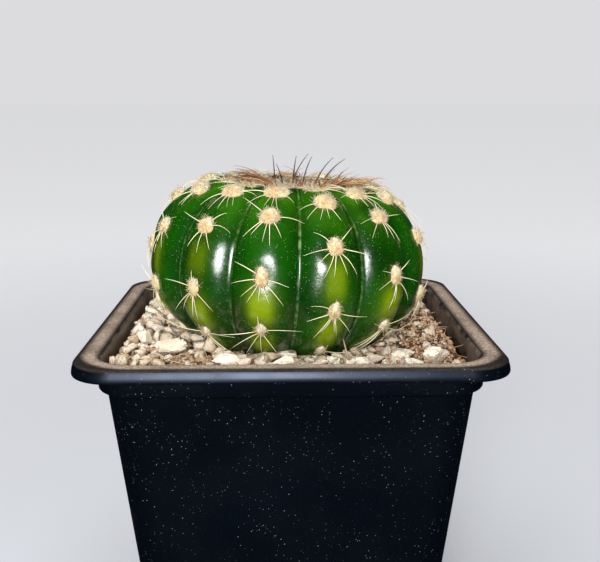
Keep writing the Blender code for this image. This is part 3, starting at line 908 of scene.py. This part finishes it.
def fuzz_lines(draw, count, matrix, size, length):
    """Start, middle and end points of the loose hairs on a cushion."""
    spin = draw.uniform(0, math.tau, count)
    lift = np.arccos(draw.uniform(0.0, 0.98, count))
    out = np.column_stack([np.sin(lift) * np.cos(spin), np.sin(lift) * np.sin(spin), np.cos(lift)])
    start = out * (size[0] / 2, size[1] / 2, size[2]) * 0.92
    way = out + draw.normal(0, 0.55, (count, 3)) + (0, 0, 0.15)
    way /= np.linalg.norm(way, axis=1, keepdims=True)
    reach = draw.uniform(0.5, 1, count)[:, None] * length
    middle = start + way * reach * 0.55 + draw.normal(0, 0.12, (count, 3)) * reach
    end = start + way * reach + draw.normal(0, 0.3, (count, 3)) * reach
    turn = np.array(matrix)
    return [p @ turn[:3, :3].T + turn[:3, 3] for p in (start, middle, end)]


def add_wool(stem, plant):
    """The wool of the areoles, one piece for each rib: matted cushions covered in short loose hairs."""
    draw = np.random.default_rng(11)
    ball = template(primitive(bpy.ops.mesh.primitive_ico_sphere_add, subdivisions=3, radius=0.5))
    hair = spike_template(3, 3)
    material = matted_wool("areole_wool", plant, plant.wool_shadow, 0.4 * MM, 0.45)
    places = areole_places(stem)
    made = []
    for rib in range(RIBS):
        parts, nodes = [], []
        kind = row_kind(rib)
        for _, number, matrix, reach in (p for p in places if p[0] == rib):
            size = pad_size(reach)
            points, spot = wool_pad(draw, ball, matrix, size)
            # Wool by the crown is younger and whiter, most of all along its upper edge; low down it bleaches.
            young = 1.0 if reach < 26 * MM else 0.6
            worn = 0.6 if reach > 50 * MM else 0.0
            white = np.clip(young * (0.2 + 1.3 * ball[0][:, 1]) + worn, 0, 0.8)
            parts.append((points, ball[1], {"tone": white, "spot": spot}))
            count = int(plant.hairs * (1.5 if reach < 30 * MM else 1))
            lines = fuzz_lines(draw, count, matrix, size, 0.95 * MM)
            radii = draw.uniform(0.03, 0.055, count) * MM
            hairs, faces, _, each = bent_spikes(hair, *lines, radii, 0.4)
            whiter = 0.75 if reach < 30 * MM else 0.4
            tone = np.repeat(draw.uniform(0, whiter, count) ** 1.5, each)
            parts.append((hairs, faces, {"tone": tone, "spot": 0.0}))
            row = number - FIRST_CAD_AREOLE[kind]
            if 0 <= row < 3:
                nodes.append(f"areole_{rib + 1:02d}_{row + 1}")
        points, faces, values = joined_copies(parts)
        piece = piece_from(points, faces, values)
        made.append(finish_piece(piece, f"areole_wool_rib_{rib + 1:02d}", material, nodes))
    return made


# Spines


def radial_directions(draw, reach):
    """(angle from up, length, lift) of an areole's spines: long ones to the sides, shorter ones fanned below."""
    if draw.uniform() < 0.4:
        fan = [(-82, 6.9, 0.22), (84, 6.9, 0.22), (-122, 6.2, 0.2), (120, 6.2, 0.2), (2, 3.4, 0.4)]
    else:
        fan = [(-97, 6.2, 0.2), (96, 6.2, 0.2), (-57, 6.0, 0.3), (55, 6.0, 0.3), (-134, 5.4, 0.16), (136, 5.2, 0.16)]
    fan += [(-156, 4.8, 0.12), (158, 4.9, 0.12), (180, 4.2, 0.1)]
    if reach < 32 * MM:
        fan = [spine for spine in fan if abs(spine[0]) > 60 or draw.uniform() < 0.3]
        fan = [spine for spine in fan if draw.uniform() < 0.8]
    kept = [spine for spine in fan if draw.uniform() > 0.1]
    return [(a + draw.normal(0, 7), size * draw.uniform(0.82, 1.12) * MM, lift) for a, size, lift in kept]


def add_radial_spines(stem, plant):
    """The short pale spines round each areole, one piece for each rib, curving down along the skin."""
    draw = np.random.default_rng(23)
    spike = spike_template(5, 6)
    material = dry_spine("pale_radial_spine", plant.spine_root, plant.spine, 0.3)
    places = areole_places(stem)
    made = []
    for rib in range(RIBS):
        parts = []
        for _, number, matrix, reach in (p for p in places if p[0] == rib and p[3] > 15 * MM):
            size = pad_size(reach)
            lines = []
            for angle, length, lift in radial_directions(draw, reach):
                a = math.radians(angle)
                way = np.array((math.sin(a), math.cos(a), 0))
                start = way * (size[0] * 0.3, size[1] * 0.3, 0) + (0, -0.3 * MM, 0.4 * MM)
                length *= 1.45 if reach > 52 * MM else 1
                sag = draw.uniform(0.5, 1.1) * (0.45 + 0.55 * abs(math.cos(a)))
                droop = draw.uniform(0.06, 0.2)
                side = np.array((way[1], -way[0], 0)) * draw.normal(0, 0.06) * length
                middle = start + way * length * 0.5 + (0, 0, lift * length * 0.75) + side
                end = start + way * length + (0, -droop * length, (lift * 0.9 - 0.28 * sag) * length)
                lines.append((start, middle, end))
            local = np.array(lines)
            turn = np.array(matrix)
            placed = local @ turn[:3, :3].T + turn[:3, 3]
            radii = draw.uniform(0.08, 0.115, len(lines)) * MM
            points, faces, along, each = bent_spikes(spike, placed[:, 0], placed[:, 1], placed[:, 2], radii)
            tone = np.repeat(draw.uniform(0, 0.5, len(lines)), each)
            parts.append((points, faces, {"along": along, "tone": tone}))
        points, faces, values = joined_copies(parts)
        piece = piece_from(points, faces, values)
        made.append(finish_piece(piece, f"radial_spines_rib_{rib + 1:02d}", material))
    return made


# Crown


def crown_height(stem, radius):
    """Height of the skin in the crown's hollow."""
    share = np.clip(radius / stem.radius, 0, 1)
    top = stem.upper * (1 - share**stem.upper_power) ** (1 / stem.upper_power)
    return top - crown_dip(stem, radius)


def add_crown_wool(stem, plant):
    """The crown's wool: a low, lumpy mat that lines the hollow, with the tufts of its youngest areoles on it."""
    draw = np.random.default_rng(31)
    body = np.array(stem_frame(stem))
    points, faces = template(primitive(bpy.ops.mesh.primitive_uv_sphere_add, segments=96, ring_count=40, radius=1))
    reach = plant.crown_wool
    flat = np.hypot(points[:, 0], points[:, 1])
    lumps = np.array([noise.fractal(Vector(p) * 5, 0.7, 2.2, 4) for p in points])
    edge = 1 + 0.14 * lumps
    skin = crown_height(stem, flat * reach * edge)
    thick = np.where(points[:, 2] > 0, points[:, 2] * (0.6 + 0.7 * lumps), points[:, 2] * 0.6) * MM
    local = np.column_stack([points[:, :2] * (reach * edge)[:, None], skin + thick])
    parts = [(local @ body[:3, :3].T + body[:3, 3], faces, {"tone": 0.0, "spot": 0.0})]
    hair = spike_template(3, 3)
    ball = template(primitive(bpy.ops.mesh.primitive_ico_sphere_add, subdivisions=3, radius=0.5))
    # The tufts follow one another round the crown by the golden angle, as new areoles do.
    for number in range(TUFTS):
        spin, far = number * GOLDEN_ANGLE, (1.5 + 9.5 * math.sqrt(number / TUFTS)) * MM
        place = Vector((far * math.cos(spin), far * math.sin(spin), float(crown_height(stem, far)) + 0.1 * MM))
        tilt = Vector((math.cos(spin), math.sin(spin), 1.6 - 0.9 * far / reach)).to_track_quat("Z", "Y").to_matrix()
        matrix = stem_frame(stem) @ Matrix.Translation(place) @ tilt.to_4x4()
        width = draw.uniform(2.2, 3.3) * MM
        size = (width, width * draw.uniform(0.8, 1.1), 0.9 * MM)
        tuft, _ = wool_pad(draw, ball, matrix, size)
        white = draw.uniform(0.0, 0.35)
        parts.append((tuft, ball[1], {"tone": white, "spot": 0.0}))
        lines = fuzz_lines(draw, plant.hairs, matrix, size, 1.1 * MM)
        radii = draw.uniform(0.03, 0.05, plant.hairs) * MM
        hairs, hair_faces, _, each = bent_spikes(hair, *lines, radii, 0.4)
        tone = np.repeat(draw.uniform(0.1, 0.9, plant.hairs), each)
        parts.append((hairs, hair_faces, {"tone": tone, "spot": 0.0}))
    # In the crown, the darker parts of the wool are brown matter and painted shade in its hollows.
    material = matted_wool("crown_wool", plant, plant.crown_shadow, 1.1 * MM, 0.53)
    piece = piece_from(*joined_copies(parts))
    return finish_piece(piece, "crown_wool_mat", material, ["crown_wool"])


def young_spines(draw, stem, count, foot, spread, aim, lean, length):
    """Curved lines for a bundle of young spines, which stand round a foot, in millimetres, and lean one way."""
    turn, width = spread
    spin = np.radians(draw.normal(aim, turn, count))
    start = np.column_stack([draw.normal(foot, width, (count, 2)), np.zeros(count)]) * MM
    start[:, 2] = crown_height(stem, np.hypot(start[:, 0], start[:, 1])) + 0.4 * MM
    out = np.column_stack([np.cos(spin), np.sin(spin), np.zeros(count)])
    tilt = np.radians(draw.uniform(*lean, count))[:, None]
    way = out * np.sin(tilt) + np.array((0, 0, 1)) * np.cos(tilt)
    reach = draw.uniform(*length, count)[:, None] * MM
    middle_points = start + way * reach * 0.5 + np.array((0, 0, 0.16)) * reach
    end = start + way * reach + (out * 0.04 - np.array((0, 0, 0.14))) * reach
    return start, middle_points, end


def add_young_spines(stem, plant):
    """Brown and tan young spines, in bundles that lean out of the crown's wool on all sides."""
    draw = np.random.default_rng(43)
    body = np.array(stem_frame(stem))
    spike = spike_template(5, 6)
    # Each bundle: how many, its foot, its spread in degrees and millimetres, its aim, its lean and its length.
    brown = [
        (18, (-4.2, -8.6), (9, 1.1), 178, (56, 74), (6.5, 10.5)),
        (10, (-7, -5), (16, 1.6), 184, (62, 80), (5, 8)),
        (20, (8.5, -7.5), (24, 1.6), 14, (30, 70), (3.5, 7)),
        (12, (3, -6.5), (50, 2), 60, (8, 40), (2.5, 5)),
        (10, (0, 4), (60, 3), 90, (20, 60), (2.5, 4.5)),
    ]
    tan = [
        (18, (-5, -8), (14, 1.6), 181, (56, 82), (4.5, 8.5)),
        (34, (9.5, -6), (26, 3), 8, (52, 84), (4, 8)),
        (26, (13, 0), (26, 3), 5, (66, 90), (4, 7.5)),
        (24, (1, -7), (60, 3), 300, (50, 86), (2, 3.5)),
        (30, (0, 7), (60, 4), 90, (60, 86), (4, 6)),
    ]
    looks = [
        ("brown_crown_spines", "brown_young_spine", plant.brown_root, plant.brown, brown, (0.07, 0.13)),
        ("tan_crown_spines", "tan_young_spine", plant.tan_root, plant.tan, tan, (0.07, 0.12)),
    ]
    made = []
    for name, finish, root, tip, bundles, thickness in looks:
        lines = [np.concatenate(p) for p in zip(*(young_spines(draw, stem, *bundle) for bundle in bundles))]
        placed = [p @ body[:3, :3].T + body[:3, 3] for p in lines]
        count = len(placed[0])
        radii = draw.uniform(*thickness, count) * MM
        points, faces, along, each = bent_spikes(spike, *placed, radii)
        values = {"along": along, "tone": np.repeat(draw.uniform(0, 1, count), each)}
        piece = piece_from(points, faces, values)
        made.append(finish_piece(piece, name, dry_spine(finish, root, tip, 0.45)))
    return made


# The long crown spines: where each starts and ends, in millimetres from the stem's axis and above its widest part.
LONG_SPINES = [
    ((-2.6, -1.5, 21), (-3.2, -1.5, 27.6)),
    ((-0.6, -4.6, 20), (-2.4, -4.6, 25.8)),
    ((0.9, 1.5, 22), (5.3, 2.0, 27.6)),
    ((3.6, -0.5, 21), (6.1, -0.5, 27.2)),
    ((6.4, -2, 20), (11.0, -2.2, 27.0)),
    ((8.4, 2, 22), (14.2, 2.6, 26.4)),
    ((-6, -3, 20.5), (-15.0, -3.5, 23.4)),
    ((1.6, 6, 22), (2.6, 11.5, 26.5)),
]


def add_long_spines(stem, plant):
    """The eight long, dark brown spines of the crown, each in the place of its CAD solid."""
    spike = spike_template(6, 9)
    material = dry_spine("dark_central_spine", plant.brown_root, plant.dark_spine, 0.3)
    made = []
    for number, (root, tip) in enumerate(LONG_SPINES, 1):
        foot = Vector((stem.offset, 0, POT_TOP + stem.rise))
        start, end = (np.array(foot + Vector(p) * MM) for p in (root, tip))
        # Its root reaches down into the wool.
        start[2] = min(start[2], foot.z + float(crown_height(stem, math.hypot(*root[:2]) * MM)) + 0.3 * MM)
        # Each arches outwards: it leaves the wool steeply and flattens towards its tip.
        middle = start + (end - start) * (0.36, 0.36, 0.64)
        line = [p[None] for p in (start, middle, end)]
        points, faces, along, _ = bent_spikes(spike, *line, np.array([0.19 * MM]), 0.25)
        piece = piece_from(points, faces, {"along": along, "tone": np.zeros(len(points))})
        made.append(finish_piece(piece, f"long_spine_{number}", material, [f"crown_spine_{number}"]))
    return made


# Stage


def area_light(name, place, target, size, power, tint):
    lamp = bpy.data.lights.new(name, "AREA")
    lamp.shape, lamp.size, lamp.energy, lamp.color = "DISK", size, power, tint
    made = bpy.data.objects.new(name, lamp)
    made.location = place
    made.rotation_euler = (Vector(target) - Vector(place)).to_track_quat("-Z", "Y").to_euler()
    bpy.context.scene.collection.objects.link(made)


def add_stage(stage):
    scene = bpy.context.scene
    scene.view_settings.view_transform = "Standard"
    lens = bpy.data.cameras.new("front_camera")
    lens.lens, lens.sensor_width = stage.lens * 1000, 36
    lens.clip_start = 10 * MM
    camera = bpy.data.objects.new("front_camera", lens)
    camera.location = (-2.24 * MM, -stage.distance, POT_TOP + stage.camera_rise)
    camera.rotation_euler = (math.pi / 2 - stage.pitch, 0, -stage.heading)
    scene.collection.objects.link(camera)
    scene.camera = camera
    ground = primitive(bpy.ops.mesh.primitive_plane_add, size=40)
    ground.name = ground.data.name = "pale_floor"
    material, tree, shader = new_material("pale_floor_paint")
    # The paint is a little lighter far away, where the key light does not reach, so the floor looks even.
    distance = add_node(tree, "ShaderNodeVectorMath", {0: object_space(tree)}, operation="LENGTH").outputs["Value"]
    even = blend_colours(tree, ramp(tree, distance, 0.05, 0.75), stage.floor, stage.far_floor)
    tree.links.new(even, shader.inputs["Base Color"])
    shader.inputs["Roughness"].default_value = 0.9
    shader.inputs["Specular IOR Level"].default_value = 0.1
    ground.data.materials.append(material)
    # The dark plastic would mirror the pale floor from below, so the floor is kept out of reflections.
    ground.visible_glossy = False
    world = bpy.data.worlds.new("soft_room")
    world.use_nodes = True
    tree = world.node_tree
    path = add_node(tree, "ShaderNodeLightPath")
    light = blend_colours(tree, path.outputs["Is Glossy Ray"], stage.room, stage.gleam)
    shown = blend_colours(tree, path.outputs["Is Camera Ray"], light, stage.wall)
    tree.links.new(shown, tree.nodes["Background"].inputs["Color"])
    scene.world = world
    aim = (0, 0, POT_TOP)
    area_light("key_light", tuple(stage.key_place), aim, stage.key_size, stage.key_power, (1, 1, 1))
    sun = bpy.data.lights.new("top_light", "SUN")
    sun.energy, sun.angle = stage.top_strength, math.radians(70)
    overhead = bpy.data.objects.new("top_light", sun)
    overhead.visible_glossy = False
    overhead.rotation_euler = (math.radians(16), math.radians(-10), 0)
    scene.collection.objects.link(overhead)


# Settings that a user would change


def length_property(name, about, value):
    return FloatProperty(name=name, description=about, default=value, min=0, unit="LENGTH", precision=5)


def angle_property(name, about, degrees):
    return FloatProperty(name=name, description=about, default=math.radians(degrees), unit="ROTATION")


def colour_property(name, about, code):
    return FloatVectorProperty(name=name, description=about, default=colour(code), subtype="COLOR", min=0, max=1)


class PotSettings(bpy.types.PropertyGroup):
    rim: length_property("Rim", "Half width over the lip", 45 * MM)
    rim_corner: length_property("Rim corner", "Radius of the rim's corners", 9.3 * MM)
    mouth: length_property("Mouth", "Half width where the flat rim turns down inside", 41 * MM)
    lip: length_property("Lip", "Depth of the turned-down lip", 2.8 * MM)
    collar: length_property("Collar", "Half width of the collar under the lip", 40.35 * MM)
    collar_depth: length_property("Collar depth", "How far below the rim the collar ends", 7.2 * MM)
    shoulder: length_property("Shoulder", "Half width of the wall just under the collar", 38.8 * MM)
    base: length_property("Base", "Half width of the base", 30 * MM)
    wall: length_property("Wall", "Thickness of the wall", 1 * MM)
    floor: length_property("Floor", "Thickness of the floor", 1.4 * MM)
    gloss: FloatProperty(name="Gloss", description="Strength of the plastic's reflections", default=0.34, min=0, max=1)
    colour: colour_property("Plastic", "Colour of the black plastic", "010306")
    # Painted sheen, mixed into the plastic's colour.
    sheen: colour_property("Plastic sheen", "Its lighter, bluish parts", "040910")
    gleam: colour_property("Plastic gleam", "The bluish tint of its highlights", "D2E0FF")
    dust: colour_property("Dust", "Colour of the dried mix on the rim", "C4AE9A")
    specks: colour_property("Specks", "Colour of the fine dust specks", "B4B6BA")


class StemSettings(bpy.types.PropertyGroup):
    radius: length_property("Radius", "Widest radius, over the rib crests", 32.9 * MM)
    upper: length_property("Upper height", "Height of the globe above its widest part", 23.6 * MM)
    lower: length_property("Lower depth", "Depth of the globe below its widest part", 22.8 * MM)
    upper_power: FloatProperty(name="Upper squareness", description="How flat the top is", default=2.52)
    lower_power: FloatProperty(name="Lower squareness", description="How flat the foot is", default=1.79)
    rise: length_property("Rise", "Height of the widest part over the rim", 11.4 * MM)
    offset: FloatProperty(name="Offset", description="Sideways place of its foot", default=-0.75 * MM, unit="LENGTH")
    lean: angle_property("Lean", "How far it leans to the right", 3.3)
    nod: angle_property("Nod", "How far it leans to the front", 0.6)
    rib_depth: length_property("Rib depth", "Depth of the grooves", 2.9 * MM)
    rib_roundness: FloatProperty(name="Rib roundness", description="Higher is broader and rounder", default=2.3)
    areole_notch: length_property("Areole notch", "Depth of the dip at each areole", 0.4 * MM)
    crown_radius: length_property("Crown radius", "Radius of the hollow at the top", 21 * MM)
    crown_dip: length_property("Crown dip", "Depth of the hollow at the top", 4.6 * MM)
    deep_green: colour_property("Deep green", "Darker skin", "012600")
    mid_green: colour_property("Mid green", "Most of the skin", "0B4300")
    young_green: colour_property("Young green", "Skin by the crown", "3A7600")
    # Painted shade in the grooves, mixed into the skin's colour.
    painted_groove_shade: colour_property("Shade green", "Skin down in the grooves", "022A01")
    lime: colour_property("Lime", "Yellow-green patches between areoles", "6E8400")
    groove_line: colour_property("Groove line", "The pale line along each groove", "8FA56A")
    pore: colour_property("Pore", "Pale dots of the skin", "9DB57C")


class PlantSettings(bpy.types.PropertyGroup):
    hairs: IntProperty(name="Hairs", description="Loose hairs on each areole", default=150, min=0)
    crown_wool: length_property("Crown wool", "Radius of the wool in the crown", 12.5 * MM)
    wool: colour_property("Wool", "Matted wool", "CBBA8F")
    # Painted shade in the hollows of the wool.
    wool_shadow: colour_property("Wool shadow", "Darker parts of the wool", "BB9B63")
    wool_tip: colour_property("Wool tip", "The fuzzy top of the wool", "E4DCCA")
    rust: colour_property("Rust", "The rusty spot of each areole", "B5763C")
    # Brown matter and painted shade in the hollows of the crown.
    crown_shadow: colour_property("Crown shadow", "Brown hollows of the crown", "5E3A1E")
    spine: colour_property("Spine", "Pale radial spines", "E9E2BE")
    spine_root: colour_property("Spine root", "Root of the radial spines", "C3A566")
    tan: colour_property("Tan spine", "Young tan spines", "CBA673")
    tan_root: colour_property("Tan spine root", "Root of the tan spines", "7A4A22")
    brown: colour_property("Brown spine", "Young brown spines", "481D0F")
    brown_root: colour_property("Brown spine root", "Root of the brown spines", "A4683A")
    dark_spine: colour_property("Dark spine", "The long spines of the crown", "38211B")


class MixSettings(bpy.types.PropertyGroup):
    drop: length_property("Drop", "How far the mix lies below the rim", 2.9 * MM)
    slope: FloatProperty(name="Slope", description="Fall of the mix to the right", default=0.02)
    hollow: length_property("Hollow", "How much lower the mix lies round the stem", 1.7 * MM)
    peat: colour_property("Peat", "Dark fibre between the crumbs", "3A2618")
    crumb: colour_property("Crumb", "Brown crumbs", "8A6748")
    bark: colour_property("Bark", "Dark bark", "6A4A32")
    grit: colour_property("Grit", "Orange-tan grit", "DDB894")
    grit_shade: colour_property("Grit shade", "Darker orange-tan grit", "A27B58")
    stone: colour_property("Stone", "Pale pumice", "F6EAD6")
    stone_shade: colour_property("Stone shade", "Duller pumice", "CBB494")
    stain: colour_property("Stain", "Rusty stain on the pumice", "C19468")


class StageSettings(bpy.types.PropertyGroup):
    lens: length_property("Lens", "Focal length of the camera", 52.64 * MM)
    distance: length_property("Distance", "How far in front of the pot's middle the camera is", 208.8 * MM)
    camera_rise: length_property("Camera rise", "Height of the camera over the rim", 52.05 * MM)
    pitch: angle_property("Pitch", "How far the camera looks down", 11.79)
    heading: angle_property("Heading", "How far the camera turns to the right", 1.3)
    floor: colour_property("Floor", "Colour of the floor", "D1D3D8")
    far_floor: colour_property("Far floor", "Colour of the floor far away", "FBFBFD")
    wall: colour_property("Wall", "Colour of the room behind", "DCDCDF")
    room: colour_property("Room light", "Soft light from all round", "484A4E")
    gleam: colour_property("Room gleam", "What shiny surfaces mirror of the room", "15191F")
    key_place: FloatVectorProperty(
        name="Key place", description="Place of the key light", default=(-0.062, -0.6, POT_TOP + 0.145), unit="LENGTH"
    )
    key_size: length_property("Key size", "Width of the key light", 250 * MM)
    key_power: FloatProperty(name="Key power", description="Power of the key light", default=5.2, unit="POWER")
    top_strength: FloatProperty(name="Top strength", description="Strength of the soft light above", default=2.3)


GROUPS = {
    "cactus_pot": PotSettings,
    "cactus_stem": StemSettings,
    "cactus_plant": PlantSettings,
    "cactus_mix": MixSettings,
    "cactus_stage": StageSettings,
}


# Operators


class CACTUS_OT_stage(bpy.types.Operator):
    """Add the camera, the pale floor and the soft lights"""

    bl_idname = "cactus.add_stage"
    bl_label = "Stage"

    def execute(self, context):
        add_stage(context.scene.cactus_stage)
        return {"FINISHED"}


class CACTUS_OT_pot(bpy.types.Operator):
    """Add the square pot with its rim, collar and drain holes"""

    bl_idname = "cactus.add_pot"
    bl_label = "Pot"

    def execute(self, context):
        add_pot(context.scene.cactus_pot)
        return {"FINISHED"}


class CACTUS_OT_mix(bpy.types.Operator):
    """Add the bed of potting mix that fills the pot"""

    bl_idname = "cactus.add_mix"
    bl_label = "Potting mix"

    def execute(self, context):
        scene = context.scene
        add_mix(scene.cactus_pot, scene.cactus_stem, scene.cactus_mix)
        return {"FINISHED"}


class CACTUS_OT_stones(bpy.types.Operator):
    """Add the larger pumice stones"""

    bl_idname = "cactus.add_stones"
    bl_label = "Stones"

    def execute(self, context):
        add_stones(context.scene.cactus_mix)
        return {"FINISHED"}


class CACTUS_OT_gravel(bpy.types.Operator):
    """Scatter gravel, grit, bark and twigs over the mix"""

    bl_idname = "cactus.add_gravel"
    bl_label = "Gravel and grit"

    def execute(self, context):
        scene = context.scene
        add_gravel(scene.cactus_pot, scene.cactus_stem, scene.cactus_mix)
        add_twigs(scene.cactus_mix)
        return {"FINISHED"}


class CACTUS_OT_stem(bpy.types.Operator):
    """Add the ribbed stem"""

    bl_idname = "cactus.add_stem"
    bl_label = "Stem"

    def execute(self, context):
        add_stem(context.scene.cactus_stem)
        return {"FINISHED"}


class CACTUS_OT_areoles(bpy.types.Operator):
    """Add the wool of the areoles, rib by rib"""

    bl_idname = "cactus.add_areoles"
    bl_label = "Areole wool"

    def execute(self, context):
        scene = context.scene
        add_wool(scene.cactus_stem, scene.cactus_plant)
        return {"FINISHED"}


class CACTUS_OT_radial_spines(bpy.types.Operator):
    """Add the pale spines round the areoles"""

    bl_idname = "cactus.add_radial_spines"
    bl_label = "Radial spines"

    def execute(self, context):
        scene = context.scene
        add_radial_spines(scene.cactus_stem, scene.cactus_plant)
        return {"FINISHED"}


class CACTUS_OT_crown(bpy.types.Operator):
    """Add the crown's wool with its young and long spines"""

    bl_idname = "cactus.add_crown"
    bl_label = "Crown"

    def execute(self, context):
        scene = context.scene
        add_crown_wool(scene.cactus_stem, scene.cactus_plant)
        add_young_spines(scene.cactus_stem, scene.cactus_plant)
        add_long_spines(scene.cactus_stem, scene.cactus_plant)
        return {"FINISHED"}


OPERATORS = (
    CACTUS_OT_stage,
    CACTUS_OT_pot,
    CACTUS_OT_mix,
    CACTUS_OT_stones,
    CACTUS_OT_gravel,
    CACTUS_OT_stem,
    CACTUS_OT_areoles,
    CACTUS_OT_radial_spines,
    CACTUS_OT_crown,
)


class CACTUS_PT_panel(bpy.types.Panel):
    """Lists the pieces and their settings"""

    bl_label = "Potted Round Cactus"
    bl_idname = "CACTUS_PT_panel"
    bl_space_type = "VIEW_3D"
    bl_region_type = "UI"
    bl_category = "Cactus"

    def draw(self, context):
        for operator in OPERATORS:
            self.layout.operator(operator.bl_idname)
        for name, group in GROUPS.items():
            box = self.layout.box()
            for field in group.__annotations__:
                box.prop(getattr(context.scene, name), field)


def register():
    for group in GROUPS.values():
        bpy.utils.register_class(group)
    for name, group in GROUPS.items():
        setattr(bpy.types.Scene, name, PointerProperty(type=group))
    for operator in OPERATORS:
        bpy.utils.register_class(operator)
    bpy.utils.register_class(CACTUS_PT_panel)


def unregister():
    bpy.utils.unregister_class(CACTUS_PT_panel)
    for operator in reversed(OPERATORS):
        bpy.utils.unregister_class(operator)
    for name, group in GROUPS.items():
        delattr(bpy.types.Scene, name)
        bpy.utils.unregister_class(group)


def main():
    register()
    bpy.ops.cactus.add_stage()
    bpy.ops.cactus.add_pot()
    bpy.ops.cactus.add_mix()
    bpy.ops.cactus.add_stones()
    bpy.ops.cactus.add_gravel()
    bpy.ops.cactus.add_stem()
    bpy.ops.cactus.add_areoles()
    bpy.ops.cactus.add_radial_spines()
    bpy.ops.cactus.add_crown()


if __name__ == "__main__":
    main()
